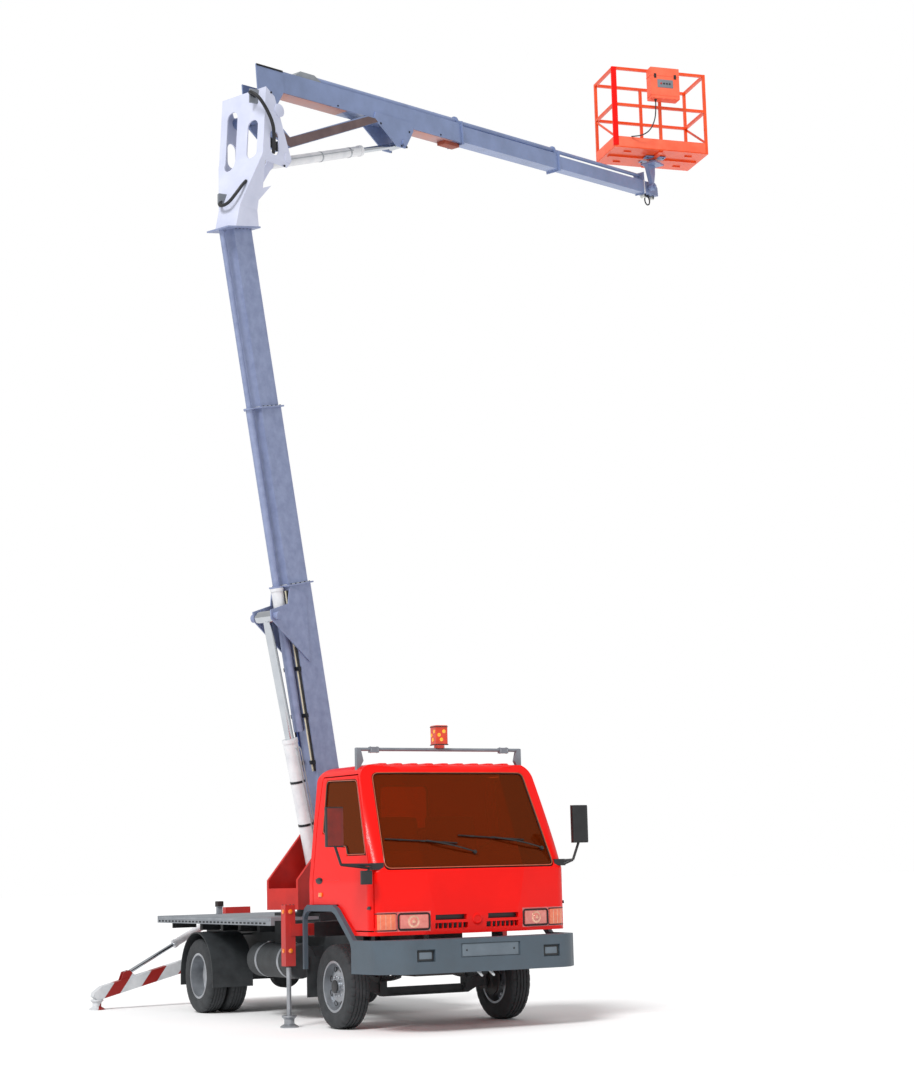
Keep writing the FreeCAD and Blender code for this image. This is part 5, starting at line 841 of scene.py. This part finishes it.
# rolled aluminium: dull silver sheet with a fine grain
aluminium = coated("rolled_aluminium", "#A4A9AF", "#8F959C", grain=500, rough=(0.45, 0.65), metal=0.6, bump=0.08,
                   dust=0.3, patch=5.0)
# chequered aluminium: two crossed rows of raised diamonds, 31 mm apart, over the rolled sheet
tread = coated("chequered_aluminium", "#989DA3", "#858B92", grain=500, rough=(0.5, 0.7), metal=0.5, bump=0.08,
               dust=0.4, patch=2.0)
tree = tread.node_tree
place = add(tree, "ShaderNodeTexCoord", {}).outputs["Object"]
slants = []
for degrees in (45, -45):
    turned = add(tree, "ShaderNodeMapping", {"Vector": place, "Rotation": (0.0, 0.0, math.radians(degrees))})
    slants.append(add(tree, "ShaderNodeTexWave", {"Vector": turned.outputs[0], "Scale": 10.0},
                      bands_direction="X").outputs["Fac"])
crossed = add(tree, "ShaderNodeMath", {0: slants[0], 1: slants[1]}, operation="MULTIPLY")
raised = add(tree, "ShaderNodeMapRange", {"Value": crossed.outputs[0], "From Min": 0.5, "From Max": 0.8})
old = tree.nodes["Principled BSDF"].inputs["Normal"].links[0].from_socket
studs = add(tree, "ShaderNodeBump", {"Height": raised.outputs[0], "Strength": 0.5, "Distance": 0.003,
                                     "Normal": old})
tree.links.new(studs.outputs[0], tree.nodes["Principled BSDF"].inputs["Normal"])
dress(tread, "deck")
# painted shade for slots: dull near-black plates on the rail, so that they read as holes
painted_shade_black = coated("dark_slot_shadow", "#22262A", "#1A1D20", grain=300, rough=(0.7, 0.9), bump=0.1, dust=0.3,
                    patch=9.0)
for side, label in ((-1, "right"), (1, "left")):
    bm = bmesh.new()
    # each slot is a thin dark plate of painted shade on the rail's face
    oval = rounded([(-30, -9), (30, -9), (30, 9), (-30, 9)], 9, 3)
    extrude(bm, [truck(-4420 + p.x, side * 960, 936 + p.y) - truck(0, 0, 0) for p in oval],
            Vector((0, side * 0.0012, 0)))
    repeat(f"deck_slot_shade_{label}", bm, painted_shade_black, "chassis", 30, (0.1, 0, 0), truck(0, 0, 0))
    bm = bmesh.new()
    block(bm, truck(-2930, side * 962, 968), (1.545, 0.0025, 0.008), 0, 0.001)
    pipe(bm, [truck(x, side * 962.5, 977) for x in spread(-4470, -1390, 8)], 0.003, 8, 0)
    piece(f"deck_edge_lip_{label}", bm, [aluminium], "chassis")
bm = bmesh.new()
block(bm, truck(-4310, -300, 1100), (0.047, 0.034, 0.029), 0, 0.008)
for i in range(5):
    block(bm, truck(-4310 + 17 * (i - 2), -300, 1129), (0.0055, 0.031, 0.002), 0, 0.0012)
piece("saddle_rubber", bm, [black_rubber], "chassis")


def band(bm, centre, axis, inner, outer, half, steps=32, mat=0):
    """A flat ring: a closed band round an axis."""
    axis = Vector(axis).normalized()
    u = axis.orthogonal().normalized()
    w = axis.cross(u)
    rings = [[bm.verts.new(centre + axis * a + (u * math.cos(t) + w * math.sin(t)) * r)
              for t in (2 * math.pi * k / steps for k in range(steps))]
             for a, r in ((-half, inner), (-half, outer), (half, outer), (half, inner))]
    faces = []
    for i in range(4):
        a, b = rings[i], rings[(i + 1) % 4]
        for k in range(steps):
            n = (k + 1) % steps
            faces.append(bm.faces.new((a[k], a[n], b[n], b[k])))
    for face in faces:
        face.material_index = mat
    bmesh.ops.recalc_face_normals(bm, faces=faces)


bm = bmesh.new()
for x in (-1960, -1420):
    band(bm, truck(x, -700, 570), (1, 0, 0), 0.169, 0.1735, 0.022, 48)
    block(bm, truck(x, -700, 744), (0.022, 0.03, 0.006), 0, 0.002)
lathe(bm, [(-0.004, 0), (-0.004, 0.045), (0.012, 0.045), (0.022, 0.038), (0.024, 0)], truck(-1300, -812, 695),
      (0, -0.7, 0.72), 28)
piece("tank_straps_and_cap", bm, [silver], "chassis")
# red tail lens: ribbed acrylic, glossy and dusty low down
red_lens = coated("red_tail_lens", "#C81A14", "#A81410", grain=140, rough=(0.08, 0.15), bump=0.1, coat=1.0,
                  dust=0.2, patch=14.0)
bm = bmesh.new()
for side in (-1, 1):
    block(bm, truck(-4500, side * 640, 900), (0.014, 0.14, 0.05), 0, 0.006)
    block(bm, truck(-4514, side * 690, 900), (0.006, 0.045, 0.04), 1, 0.004)
    block(bm, truck(-4514, side * 590, 900), (0.006, 0.045, 0.04), 2, 0.004)
block(bm, truck(-4500, 0, 900), (0.004, 0.26, 0.055), 3, 0.003)
piece("rear_lamps_and_plate", bm, [black_plastic, red_lens, amber, plate_grey], "chassis")
bm = bmesh.new()
for x, y in ((0, 430), (-3210, 430)):
    for side in (-1, 1):
        for dx in (-45, 45):
            arch = [truck(x + dx, side * y - 40, 420 if x == 0 else 400), truck(x + dx, side * y - 40, 545),
                    truck(x + dx, side * y - 22, 568), truck(x + dx, side * y + 22, 568),
                    truck(x + dx, side * y + 40, 545), truck(x + dx, side * y + 40, 420 if x == 0 else 400)]
            pipe(bm, arch, 0.008, 8)
piece("spring_u_bolts", bm, [cast_iron], "chassis")


# --- Outriggers ---
# White rear arms with slanted dark-red warning stripes; two small orange lamps on each front jack
# tube and a dark iron ring at its mouth.
# dull red machinery paint: thicker, chalky coat of the turret and jack beams
machine_red = coated("dull_red_machine_paint", "#C8241A", "#B01A14", grain=350, rough=(0.42, 0.58), bump=0.08,
                     dust=0.4, patch=4.0)
dress(machine_red, "front_outrigger_beam_left", "front_outrigger_beam_right", "rear_outrigger_frame")
dress(silver, "front_jack_left", "front_jack_right")
# white cylinder paint: clean gloss with faint grey handling marks
white_paint = coated("white_gloss_paint", "#E6E7EA", "#D2D4D9", grain=800, rough=(0.28, 0.4), bump=0.04,
                     coat=0.4, dust=0.25, patch=8.0)
dress(white_paint, "rear_ram_barrel_left", "rear_ram_barrel_right")
dress(chrome, "rear_ram_rod_left", "rear_ram_rod_right")
# white arm paint with warning stripes: slanted dark red bars 286 mm apart over a dusty white
striped = coated("white_arm_paint_red_stripes", "#D8DADD", "#C4C7CB", grain=700, rough=(0.35, 0.5), bump=0.05,
                 dust=0.3, patch=7.0)
tree = striped.node_tree
place = add(tree, "ShaderNodeTexCoord", {}).outputs["Object"]
turned = add(tree, "ShaderNodeMapping", {"Vector": place, "Rotation": (math.radians(35), 0.0, 0.0)})
bars = add(tree, "ShaderNodeTexWave", {"Vector": turned.outputs[0], "Scale": 1.1}, bands_direction="Y")
edge = add(tree, "ShaderNodeMath", {0: bars.outputs["Fac"], 1: 0.62}, operation="GREATER_THAN")
shader = tree.nodes["Principled BSDF"]
under = shader.inputs["Base Color"].links[0].from_socket
both = add(tree, "ShaderNodeMix", {0: edge.outputs[0], 6: under, 7: linear("#8E1A16")}, data_type="RGBA")
tree.links.new(both.outputs[2], shader.inputs["Base Color"])
dress(striped, "rear_outrigger_arm_left", "rear_outrigger_arm_right")
for side, label in ((-1, "right"), (1, "left")):
    bm = bmesh.new()
    for z in (1060, 700):
        lathe(bm, [(-0.004, 0), (-0.004, 0.022), (0.006, 0.022), (0.011, 0.014), (0.013, 0)],
              truck(-540 + 50, side * 1140, z), (1, 0, 0), 20, 0)
        lathe(bm, [(-0.004, 0), (-0.004, 0.022), (0.006, 0.022), (0.011, 0.014), (0.013, 0)],
              truck(-540, side * 1190, z), (0, side, 0), 20, 0)
    band(bm, truck(-540, side * 1140, 556), (0, 0, 1), 0.0235, 0.036, 0.008, 28, 1)
    for dx in (-38, 38):
        for dy in (-38, 38):
            lathe(bm, [(-0.002, 0), (-0.002, 0.008), (0.006, 0.008), (0.007, 0)],
                  truck(-540 + dx, side * 1140 + dy, 1120), (0, 0, 1), 6, 1)
    piece(f"jack_tube_details_{label}", bm, [amber, cast_iron], f"front_beam_{label}")


# --- Boom places ---
# Places on the turret, rams and booms, which all stand in one upright plane: along a link, to its
# side and away from it; the pins and bolts are oiled dark steel.
SLEW_X, BOOM_HEADING = -1900, 113.2


def in_plane(reach, side, height):
    """A point in the booms' upright plane, from the slew axis."""
    t = math.radians(BOOM_HEADING)
    return truck(SLEW_X + reach * math.cos(t) - side * math.sin(t), reach * math.sin(t) + side * math.cos(t),
                 height)


def frame_on(reach, height, degrees):
    """Point function of a link that starts in the boom plane and rises at an angle."""
    a = math.radians(degrees)
    return lambda s, side, off: in_plane(reach + s * math.cos(a) - off * math.sin(a), side,
                                         height + s * math.sin(a) + off * math.cos(a))


def axes_of(place):
    """The directions along, beside and away of a link's point function."""
    o = place(0, 0, 0)
    return tuple((place(*p) - o).normalized() for p in ((1000, 0, 0), (0, 1000, 0), (0, 0, 1000)))


lower = frame_on(100, 2200, 101.9)
upper = frame_on(-1053, 9199.2, 5.1)
lift = frame_on(-300, 1360, 104.78)
# oiled steel: dark, with a narrow soft highlight
dark_steel = coated("oiled_dark_steel", "#2C2E32", "#3A3C40", grain=600, rough=(0.35, 0.5), metal=0.8, bump=0.1,
                    dust=0.0, patch=9.0)


# --- Collar bolts and wear pads ---
# Hexagon bolts of 20 mm round every boom mouth, five a side, in the collars; pale nylon wear strips
# show at the mouths.
# pale nylon: milky and waxy, with little gloss
pad_white = coated("pale_nylon_pad", "#D6D8D2", "#C4C6C0", grain=900, rough=(0.45, 0.6), bump=0.05, dust=0.0,
                   patch=8.0)
mouths = [("lower", lower, 262, 2235, 330, 230, "lower_boom_outer"),
          ("lower", lower, 262, 4060, 296, 196, "lower_boom_middle"),
          ("lower", lower, 262, 5885, 264, 164, "lower_boom_inner"),
          ("upper", upper, 421, 3413, 230, 200, "upper_boom_outer"),
          ("upper", upper, 421, 5403, 196, 166, "upper_boom_middle")]
for family, place, centre, mouth, depth, width, body in mouths:
    along, _, off_way = axes_of(place)
    for side in (-1, 1):
        bm = bmesh.new()
        lathe(bm, bolt_head(0.003, 0.010, 0.006, 0.008, 0.008),
              place(mouth, side * (width / 2 + 11), centre - depth * 0.42) - place(0, 0, 0), along, 6)
        repeat(f"collar_bolts_{family}_{mouth}_{'near' if side < 0 else 'far'}", bm, dark_steel, body, 5,
               off_way * (depth * 0.84 / 4000), place(0, 0, 0))
for family, place, centre, mouth, depth, width, body in mouths[:2] + mouths[3:]:
    bm = bmesh.new()
    axes = axes_of(place)
    for side in (-1, 1):
        block(bm, place(mouth + 3, side * (width / 2 - 11), centre), (0.004, 0.004, depth / 2600), 0, 0.001, axes)
        block(bm, place(mouth + 3, 0, centre + side * (depth / 2 - 11)), (0.004, width / 2800, 0.004), 0, 0.001, axes)
    piece(f"wear_strips_{family}_{mouth}", bm, [pad_white], body)


# --- Lower boom and lift ram fittings ---
# White flared socket at the outer conduit's mouth, four belly lines in clamps, a valve block with
# two steel lines on the lift ram's barrel.
# zinc-grey steel: cloudy galvanised spangle of the lower boom
galvanised = coated("galvanised_steel", "#929DBE", "#818CAE", grain=120, rough=(0.32, 0.55), metal=0.25,
                    bump=0.06, dust=0.0, patch=11.0)
dress(galvanised, "lower_boom_outer", "lower_boom_middle", "lower_boom_inner")
dress(white_paint, "lift_ram_barrel")
dress(chrome, "lift_ram_rod")
# cream sheath: plain woven-looking hose cover
cream = coated("cream_hose_sheath", "#DDD6BE", "#CFC7AD", grain=700, rough=(0.45, 0.6), bump=0.1, dust=0.0,
               patch=9.0)
# blue tube: smooth satin nylon
blue = coated("blue_air_tube", "#3F62A8", "#36569A", grain=700, rough=(0.35, 0.5), bump=0.05, dust=0.0,
              patch=9.0)
# hydraulic hose rubber: black, dull, finely ribbed
hose_black = coated("black_hydraulic_hose", "#17181A", "#222326", grain=1100, rough=(0.45, 0.6), bump=0.25,
                    dust=0.0, patch=12.0)
bm = bmesh.new()
axis = axes_of(lower)[0]
band(bm, lower(2080, 0, 487), axis, 0.0495, 0.062, 0.11, 40, 0)
band(bm, lower(2205, 0, 487), axis, 0.0495, 0.069, 0.016, 40, 0)
band(bm, lower(1960, 0, 487), axis, 0.0495, 0.056, 0.02, 40, 0)
for side, radius, mat in ((-92, 11, 1), (-66, 10, 2), (66, 10, 3), (92, 11, 1)):
    pipe(bm, [lower(s, side, 427 + radius) for s in spread(330, 2180, 14)], radius / 1000, 10, mat)
for s in (420, 900, 1380, 1860):
    block(bm, lower(s, -79, 439), (0.02, 0.032, 0.015), 4, 0.003, axes_of(lower))
    block(bm, lower(s, 79, 439), (0.02, 0.032, 0.015), 4, 0.003, axes_of(lower))
piece("lower_boom_lines", bm, [white_paint, hose_black, cream, blue, dark_steel], "lower_boom_outer")
bm = bmesh.new()
block(bm, lift(230, -92, 0), (0.07, 0.024, 0.05), 1, 0.006, axes_of(lift))
for off in (-26, 26):
    lathe(bm, [(-0.01, 0), (-0.01, 0.014), (0.012, 0.014), (0.016, 0.010), (0.03, 0.010), (0.03, 0)],
          lift(300, -98, off), axes_of(lift)[0], 6, 0)
    pipe(bm, [lift(s, -98 if s < 1330 else -84, off) for s in (320, 600, 900, 1200, 1320, 1350)], 0.007, 10, 2)
lathe(bm, [(-0.01, 0), (-0.01, 0.018), (0.02, 0.018), (0.026, 0.012), (0.04, 0.012), (0.04, 0)],
      lift(200, -112, 0), axes_of(lift)[1] * -1, 16, 0)
for s in (560, 1000):
    band(bm, lift(s, 0, 0), axes_of(lift)[0], 0.0745, 0.0785, 0.012, 40, 0)
piece("lift_ram_valve", bm, [dark_steel, aluminium, silver], "lift_ram_barrel")


# --- Turret fittings ---
# Three dark bolts in a row and a lighter cover plate on each welded cheek, with bolt heads round
# both pins; a black hose leaves one cheek.
dress(machine_red, "turret")
# light red cover plate: smoother and paler than the machine paint round it
salmon_plate = coated("light_red_cover_plate", "#E8483C", "#DC4034", grain=500, rough=(0.4, 0.5), bump=0.05,
                      dust=0.1, patch=6.0)
bm = bmesh.new()
for side in (-1, 1):
    out = (in_plane(0, side, 0) - in_plane(0, 0, 0)).normalized()
    for reach in (180, 260, 340):
        lathe(bm, [(-0.004, 0), (-0.004, 0.024), (0.004, 0.024), (0.006, 0.017), (0.018, 0.017), (0.018, 0)],
              in_plane(reach, side * 210, 1290), out, 18, 0)
    slot = rounded([(-560, 1260), (-250, 1260), (-250, 1330), (-560, 1330)], 34, 6)
    extrude(bm, [in_plane(p.x, side * 209, p.y) for p in slot], out * 0.005, 1, 0.001)
    for centre, radius, bolt in (((100, 2200), 0.062, 232), ((-300, 1360), 0.052, 222)):
        lathe(bm, bolt_head(0.006, radius, 0.006, 0.009, radius * 0.9),
              in_plane(centre[0], side * (bolt - 9), centre[1]), out, 36, 2)
        for k in range(4):
            t = math.radians(90 * k + 45)
            lathe(bm, [(-0.003, 0), (-0.003, 0.008), (0.006, 0.008), (0.006, 0)],
                  in_plane(centre[0] + 700 * radius * math.cos(t), side * bolt,
                           centre[1] + 700 * radius * math.sin(t)), out, 6, 0)
piece("turret_fittings", bm, [dark_steel, salmon_plate, machine_red], "turret")


def hose(name, points, diameter, mat, body):
    """A bent hose along one smooth curve."""
    data = bpy.data.curves.new(name, "CURVE")
    data.dimensions = "3D"
    data.bevel_depth = diameter / 2
    data.bevel_resolution = 4
    data.resolution_u = 16
    data.use_fill_caps = True
    line = data.splines.new("NURBS")
    line.points.add(len(points) - 1)
    for point, place in zip(line.points, points):
        point.co = (*place, 1)
    line.order_u = 3
    line.use_endpoint_u = True
    data.materials.append(mat)
    obj = bpy.data.objects.new(name, data)
    bpy.context.scene.collection.objects.link(obj)
    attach(obj, body)
    return obj


# a black hose leaves the turret's cheek, bends down past its edge and ends lower on the same cheek
hose("turret_hose", [in_plane(420, -214, 1560), in_plane(430, -260, 1560), in_plane(470, -285, 1480),
                     in_plane(480, -285, 1330), in_plane(430, -270, 1200), in_plane(400, -214, 1180)],
     0.022, hose_black, "turret")


# --- Elbow hoses and fittings ---
# Steel bulkhead fitting in the notch of the back plate with a 36 mm hose into the side oval; a
# second hose rises from the lower corner; hexagon heads on the pin plates.
# the elbow's own pale lilac paint on its folded plate, made paler still with painted light to the sunlit look of its
# back plate
lit_pale_lilac = coated("pale_lilac_paint_and_painted_light", "#D2D6EA", "#C4C9DF", grain=600, rough=(0.36, 0.48), metal=0.05,
                    bump=0.05, coat=0.2, dust=0.0, patch=3.0)
dress(lit_pale_lilac, "elbow_bracket")
head = frame_on(-1373, 7919.2, 0)
bm = bmesh.new()
for side in (-1, 1):
    out = axes_of(head)[1] * side
    for reach, height, radius in ((320, 1280, 0.07), (440, 800, 0.05)):
        lathe(bm, bolt_head(0, radius, 0.006, 0.009, radius * 0.93),
              head(reach, side * 312, height), out, 36, 1)
    for reach, height in ((390, 700), (200, 1440)):
        lathe(bm, bolt_head(0.002, 0.012, 0.007, 0.009, 0.009),
              head(reach, side * 312, height), out, 6, 0)
lathe(bm, [(-0.02, 0), (-0.02, 0.03), (0.01, 0.03), (0.014, 0.022), (0.045, 0.022), (0.05, 0.018), (0.05, 0)],
      head(118, -190, 1400), axes_of(head)[0] * -1, 6, 0)
block(bm, head(100, -190, 1400), (0.012, 0.07, 0.075), 2, 0.004)
block(bm, head(-78, 118, 322), (0.022, 0.05, 0.055), 2, 0.005)
piece("elbow_fittings", bm, [dark_steel, lit_pale_lilac, powder_grey], "lower_boom_inner")
hose("elbow_hose_top", [head(108, -190, 1400), head(10, -190, 1410), head(-40, -250, 1400),
                        head(-20, -345, 1330), head(60, -385, 1200), head(160, -375, 1080),
                        head(215, -335, 980), head(240, -310, 890), head(247, -292, 800)],
     0.036, hose_black, "lower_boom_inner")
hose("elbow_hose_low", [head(-85, 118, 300), head(-135, 118, 262), head(-165, 60, 215), head(-165, -50, 225),
                        head(-130, -135, 330), head(-70, -168, 430), head(-28, -168, 468)],
     0.034, hose_black, "lower_boom_inner")


# --- Upper boom fittings ---
# Brown-grey strut plates with painted shade in black on their inner faces, a red-brown wear pad, orange primer along
# the belly, a bright hump cover and a small valve on the cylinder.
# lilac-grey paint: cooler and smoother coat of the elbow and the upper boom
lilac = coated("lilac_grey_paint", "#8494BC", "#7685A8", grain=600, rough=(0.34, 0.46), metal=0.15, bump=0.05,
               coat=0.25, dust=0.0, patch=3.0)
dress(lilac, "upper_boom_outer", "upper_boom_middle", "upper_boom_inner", "basket_mount")
dress(white_paint, "upper_ram_barrel")
dress(chrome, "upper_ram_rod")
# brown-grey strut paint: satin, slightly rubbed along the plates
strut_brown = coated("brown_grey_strut_paint", "#6E5A5A", "#5C4A4C", grain=500, rough=(0.4, 0.55), metal=0.2,
                     bump=0.1, dust=0.0, patch=6.0)
# red-brown pad: dull filled plastic
pad_brown = coated("red_brown_wear_pad", "#9A4630", "#843A28", grain=500, rough=(0.5, 0.65), bump=0.1, dust=0.0,
                   patch=8.0)
# belly primer: orange-brown fading to lilac, satin
belly_primer = coated("orange_belly_primer", "#C07A62", "#A88A90", grain=400, rough=(0.35, 0.5), metal=0.1,
                      bump=0.08, dust=0.0, patch=2.0)
axes = axes_of(upper)
bm = bmesh.new()
for side in (-1, 1):
    # each plate gets a brown-grey outer face and, 27 mm further in, a black sheet of painted shade on its inner face
    for face, thick, mat in ((112, 0.0015, 0), (85, -0.0015, 1)):
        outline = [(110, -196), (363, -278), (1940, 300), (1690, 300), (363, -174), (130, -60)]
        extrude(bm, [upper(x, side * face, z) for x, z in outline], axes[1] * side * thick, mat)
block(bm, upper(3258, 0, 283), (0.138, 0.057, 0.024), 2, 0.004, axes)
block(bm, upper(800, 0, 304.5), (0.56, 0.09, 0.0015), 3, 0.0005, axes)
block(bm, upper(2880, 0, 304.5), (0.36, 0.09, 0.0015), 3, 0.0005, axes)
top = 536
outline = [(548, top), (669, top + 82), (891, top + 82), (992, top + 31), (992, top)]
extrude(bm, [upper(x, -61.5, z) for x, z in outline], axes[1] * 0.123, 4, 0.003)
block(bm, upper(120, -115.5, 528), (0.2, 0.0035, 0.01), 5, 0.001, axes)
for s in (300, 1200, 2100, 3000):
    lathe(bm, bolt_head(0.003, 0.011, 0.006, 0.008, 0.008),
          upper(s, -100, 330), axes[1] * -1, 6, 5)
for s, z in ((2240, 62), (2330, 62), (2400, 250), (1900, 260)):
    for side in (-1, 1):
        lathe(bm, bolt_head(0.003, 0.012, 0.007, 0.009, 0.009),
              upper(s, side * 114, z), axes[1] * side, 6, 5)
piece("upper_boom_fittings", bm, [strut_brown, painted_shade_black, pad_brown, belly_primer, aluminium, dark_steel],
      "upper_boom_outer")
bm = bmesh.new()
ram = frame_on(-933, 8719.2, 20.04)
block(bm, ram(260, -60, 0), (0.05, 0.012, 0.03), 0, 0.004, axes_of(ram))
lathe(bm, [(-0.01, 0), (-0.01, 0.01), (0.012, 0.01), (0.016, 0.008), (0.03, 0.008), (0.03, 0)],
      ram(320, -61, 12), axes_of(ram)[0], 6, 1)
pipe(bm, [ram(s, -61, 12) for s in (340, 700, 1100, 1430)], 0.005, 8, 1)
for s in (900, 1400):
    band(bm, ram(s, 0, 0), axes_of(ram)[0], 0.0545, 0.058, 0.01, 36, 1)
piece("upper_ram_valve", bm, [dark_steel, silver], "upper_ram_barrel")


# --- Boom tip ---
# A white painted end plate on the inner boom, a steel rope ring 134 mm across and two small nylon rollers
# on steel cheeks under the yoke.
bm = bmesh.new()
end = 7393
block(bm, upper(end - 6, -75, 421), (0.007, 0.006, 0.088), 0, 0.001, axes)
block(bm, upper(end - 6, 75, 421), (0.007, 0.006, 0.088), 0, 0.001, axes)
block(bm, upper(end + 150, 0, 333), (0.012, 0.03, 0.012), 1, 0.003, axes)
ring = [upper(end + 150 + 58 * math.cos(t), 0, 270 + 58 * math.sin(t)) for t in
        (2 * math.pi * k / 40 for k in range(40))]
pipe(bm, ring, 0.009, 10, 1, loop=True)
for s in (end + 60, end + 255):
    lathe(bm, [(0, 0), (0, 0.026), (0.006, 0.03), (0.02, 0.022), (0.04, 0.022), (0.054, 0.03), (0.06, 0.026),
               (0.06, 0)], upper(s, -30, 318), axes[1], 28, 2)
    for side in (-34, 34):
        block(bm, upper(s, side, 326), (0.014, 0.003, 0.022), 1, 0.001, axes)
piece("boom_tip_ring_and_rollers", bm, [white_paint, dark_steel, pad_white], "upper_boom_inner")


# --- Basket ---
# Toe boards in the basket's orange, lightened to salmon with painted sunlight, in orange tube frames, flat diagonal
# braces on the short sides, a wider near corner post, gate latch, floor brackets and mesh-like tread ribs on the
# floor.
# orange enamel: warm, slightly faded tube coating of the basket
orange = coated("orange_tube_enamel", "#F0500F", "#E2440C", grain=700, rough=(0.34, 0.48), bump=0.06, coat=0.3,
                dust=0.0, patch=5.0)
dress(orange, "basket")
# salmon moulded plastic, sun-bleached, of the control box; on the toe boards the same colour is painted sunlight on
# the basket's orange paint
salmon_and_sunlit_orange = coated("salmon_plastic_and_painted_sunlight", "#FF7050", "#F4603F", grain=1300, rough=(0.4, 0.55), bump=0.1,
                dust=0.0, patch=5.0)
yaw = math.radians(78.5)
centre = in_plane(6352.7, -156, 10657.5)


def basket(x, y, z):
    """A basket point: from the middle of its floor, along its long side, across it and up."""
    return centre + Vector((x * math.cos(yaw) - y * math.sin(yaw), x * math.sin(yaw) + y * math.cos(yaw), z)) / 1000


bx = axes_of(basket)
# the toe boards take the salmon colour as painted sunlight over the orange paint
bm = bmesh.new()
for side in (-1, 1):
    block(bm, basket(0, side * 340.5, 80), (0.622, 0.0016, 0.066), 0, 0.0008, bx)
    block(bm, basket(side * 660.5, 0, 80), (0.0016, 0.302, 0.066), 0, 0.0008, bx)
    a, b = basket(side * 650, -312, 160), basket(side * 650, 312, 565)
    way = (b - a).normalized()
    block(bm, (a + b) / 2, ((b - a).length / 2, 0.016, 0.003), 1, 0.001, (way, way.cross(bx[0]), bx[0]))
block(bm, basket(-640, -341, 560), (0.036, 0.0045, 0.535), 2, 0.002, bx)
block(bm, basket(-661.5, -320, 560), (0.0035, 0.024, 0.535), 2, 0.001, bx)
for x in (-430, 430):
    for y in (-200, 200):
        block(bm, basket(x, y, -7), (0.05, 0.012, 0.008), 1, 0.002, bx)
block(bm, basket(0, 0, -14), (0.14, 0.14, 0.006), 3, 0.003, bx)
for x, y in ((-110, -110), (110, -110), (-110, 110), (110, 110)):
    lathe(bm, bolt_head(0.002, 0.012, 0.006, 0.008, 0.009), basket(x, y, -20),
          (0, 0, -1), 6, 4)
block(bm, basket(330, 343, 590), (0.05, 0.005, 0.014), 4, 0.003, bx)
piece("basket_panels", bm, [salmon_and_sunlit_orange, orange, cab_red, lilac, dark_steel], "basket")
bm = bmesh.new()
block(bm, basket(-600, 0, 25.5) - basket(0, 0, 0), (0.007, 0.3, 0.002), 0, 0.001, bx)
repeat("basket_floor_ribs", bm, orange, "basket", 41, bx[0] * 0.03, basket(0, 0, 0))


# --- Control box ---
# Salmon box 400 x 150 x 420 mm with a lid seam, hinge, two latches and a small grey switch panel;
# its black cable hangs in one loop to the toe board.
dress(salmon_and_sunlit_orange, "control_box")
bm = bmesh.new()
for z in (969, 700):
    line = [basket(-182, -341, z), basket(-182, -491.5, z), basket(221.5, -491.5, z), basket(221.5, -341, z)]
    pipe(bm, dense(rounded(line, 0.002, 2)[:-1], 0.05), 0.0035, 6, 0, loop=True)
for x in (-120, 160):
    block(bm, basket(x, -493, 962), (0.016, 0.004, 0.03), 1, 0.003, bx)
block(bm, basket(20, -492, 860), (0.11, 0.003, 0.055), 2, 0.002, bx)
for x, mat in ((-50, 3), (-10, 1), (30, 1), (70, 1)):
    lathe(bm, bolt_head(0, 0.012, 0.006, 0.009, 0.008), basket(x + 10, -494, 860),
          bx[1] * -1, 18, mat)
lathe(bm, [(-0.01, 0), (-0.01, 0.018), (0.012, 0.018), (0.018, 0.012), (0.03, 0.012), (0.03, 0)],
      basket(-100, -430, 660), (0, 0, -1), 18, 1)
piece("control_box_details", bm, [salmon_and_sunlit_orange, black_plastic, powder_grey, machine_red], "basket")
hose("control_cable", [basket(-100, -430, 655), basket(-100, -432, 560), basket(-120, -440, 380),
                       basket(-190, -430, 230), basket(-290, -410, 160), basket(-380, -380, 150),
                       basket(-430, -352, 150)],
     0.016, hose_black, "basket")
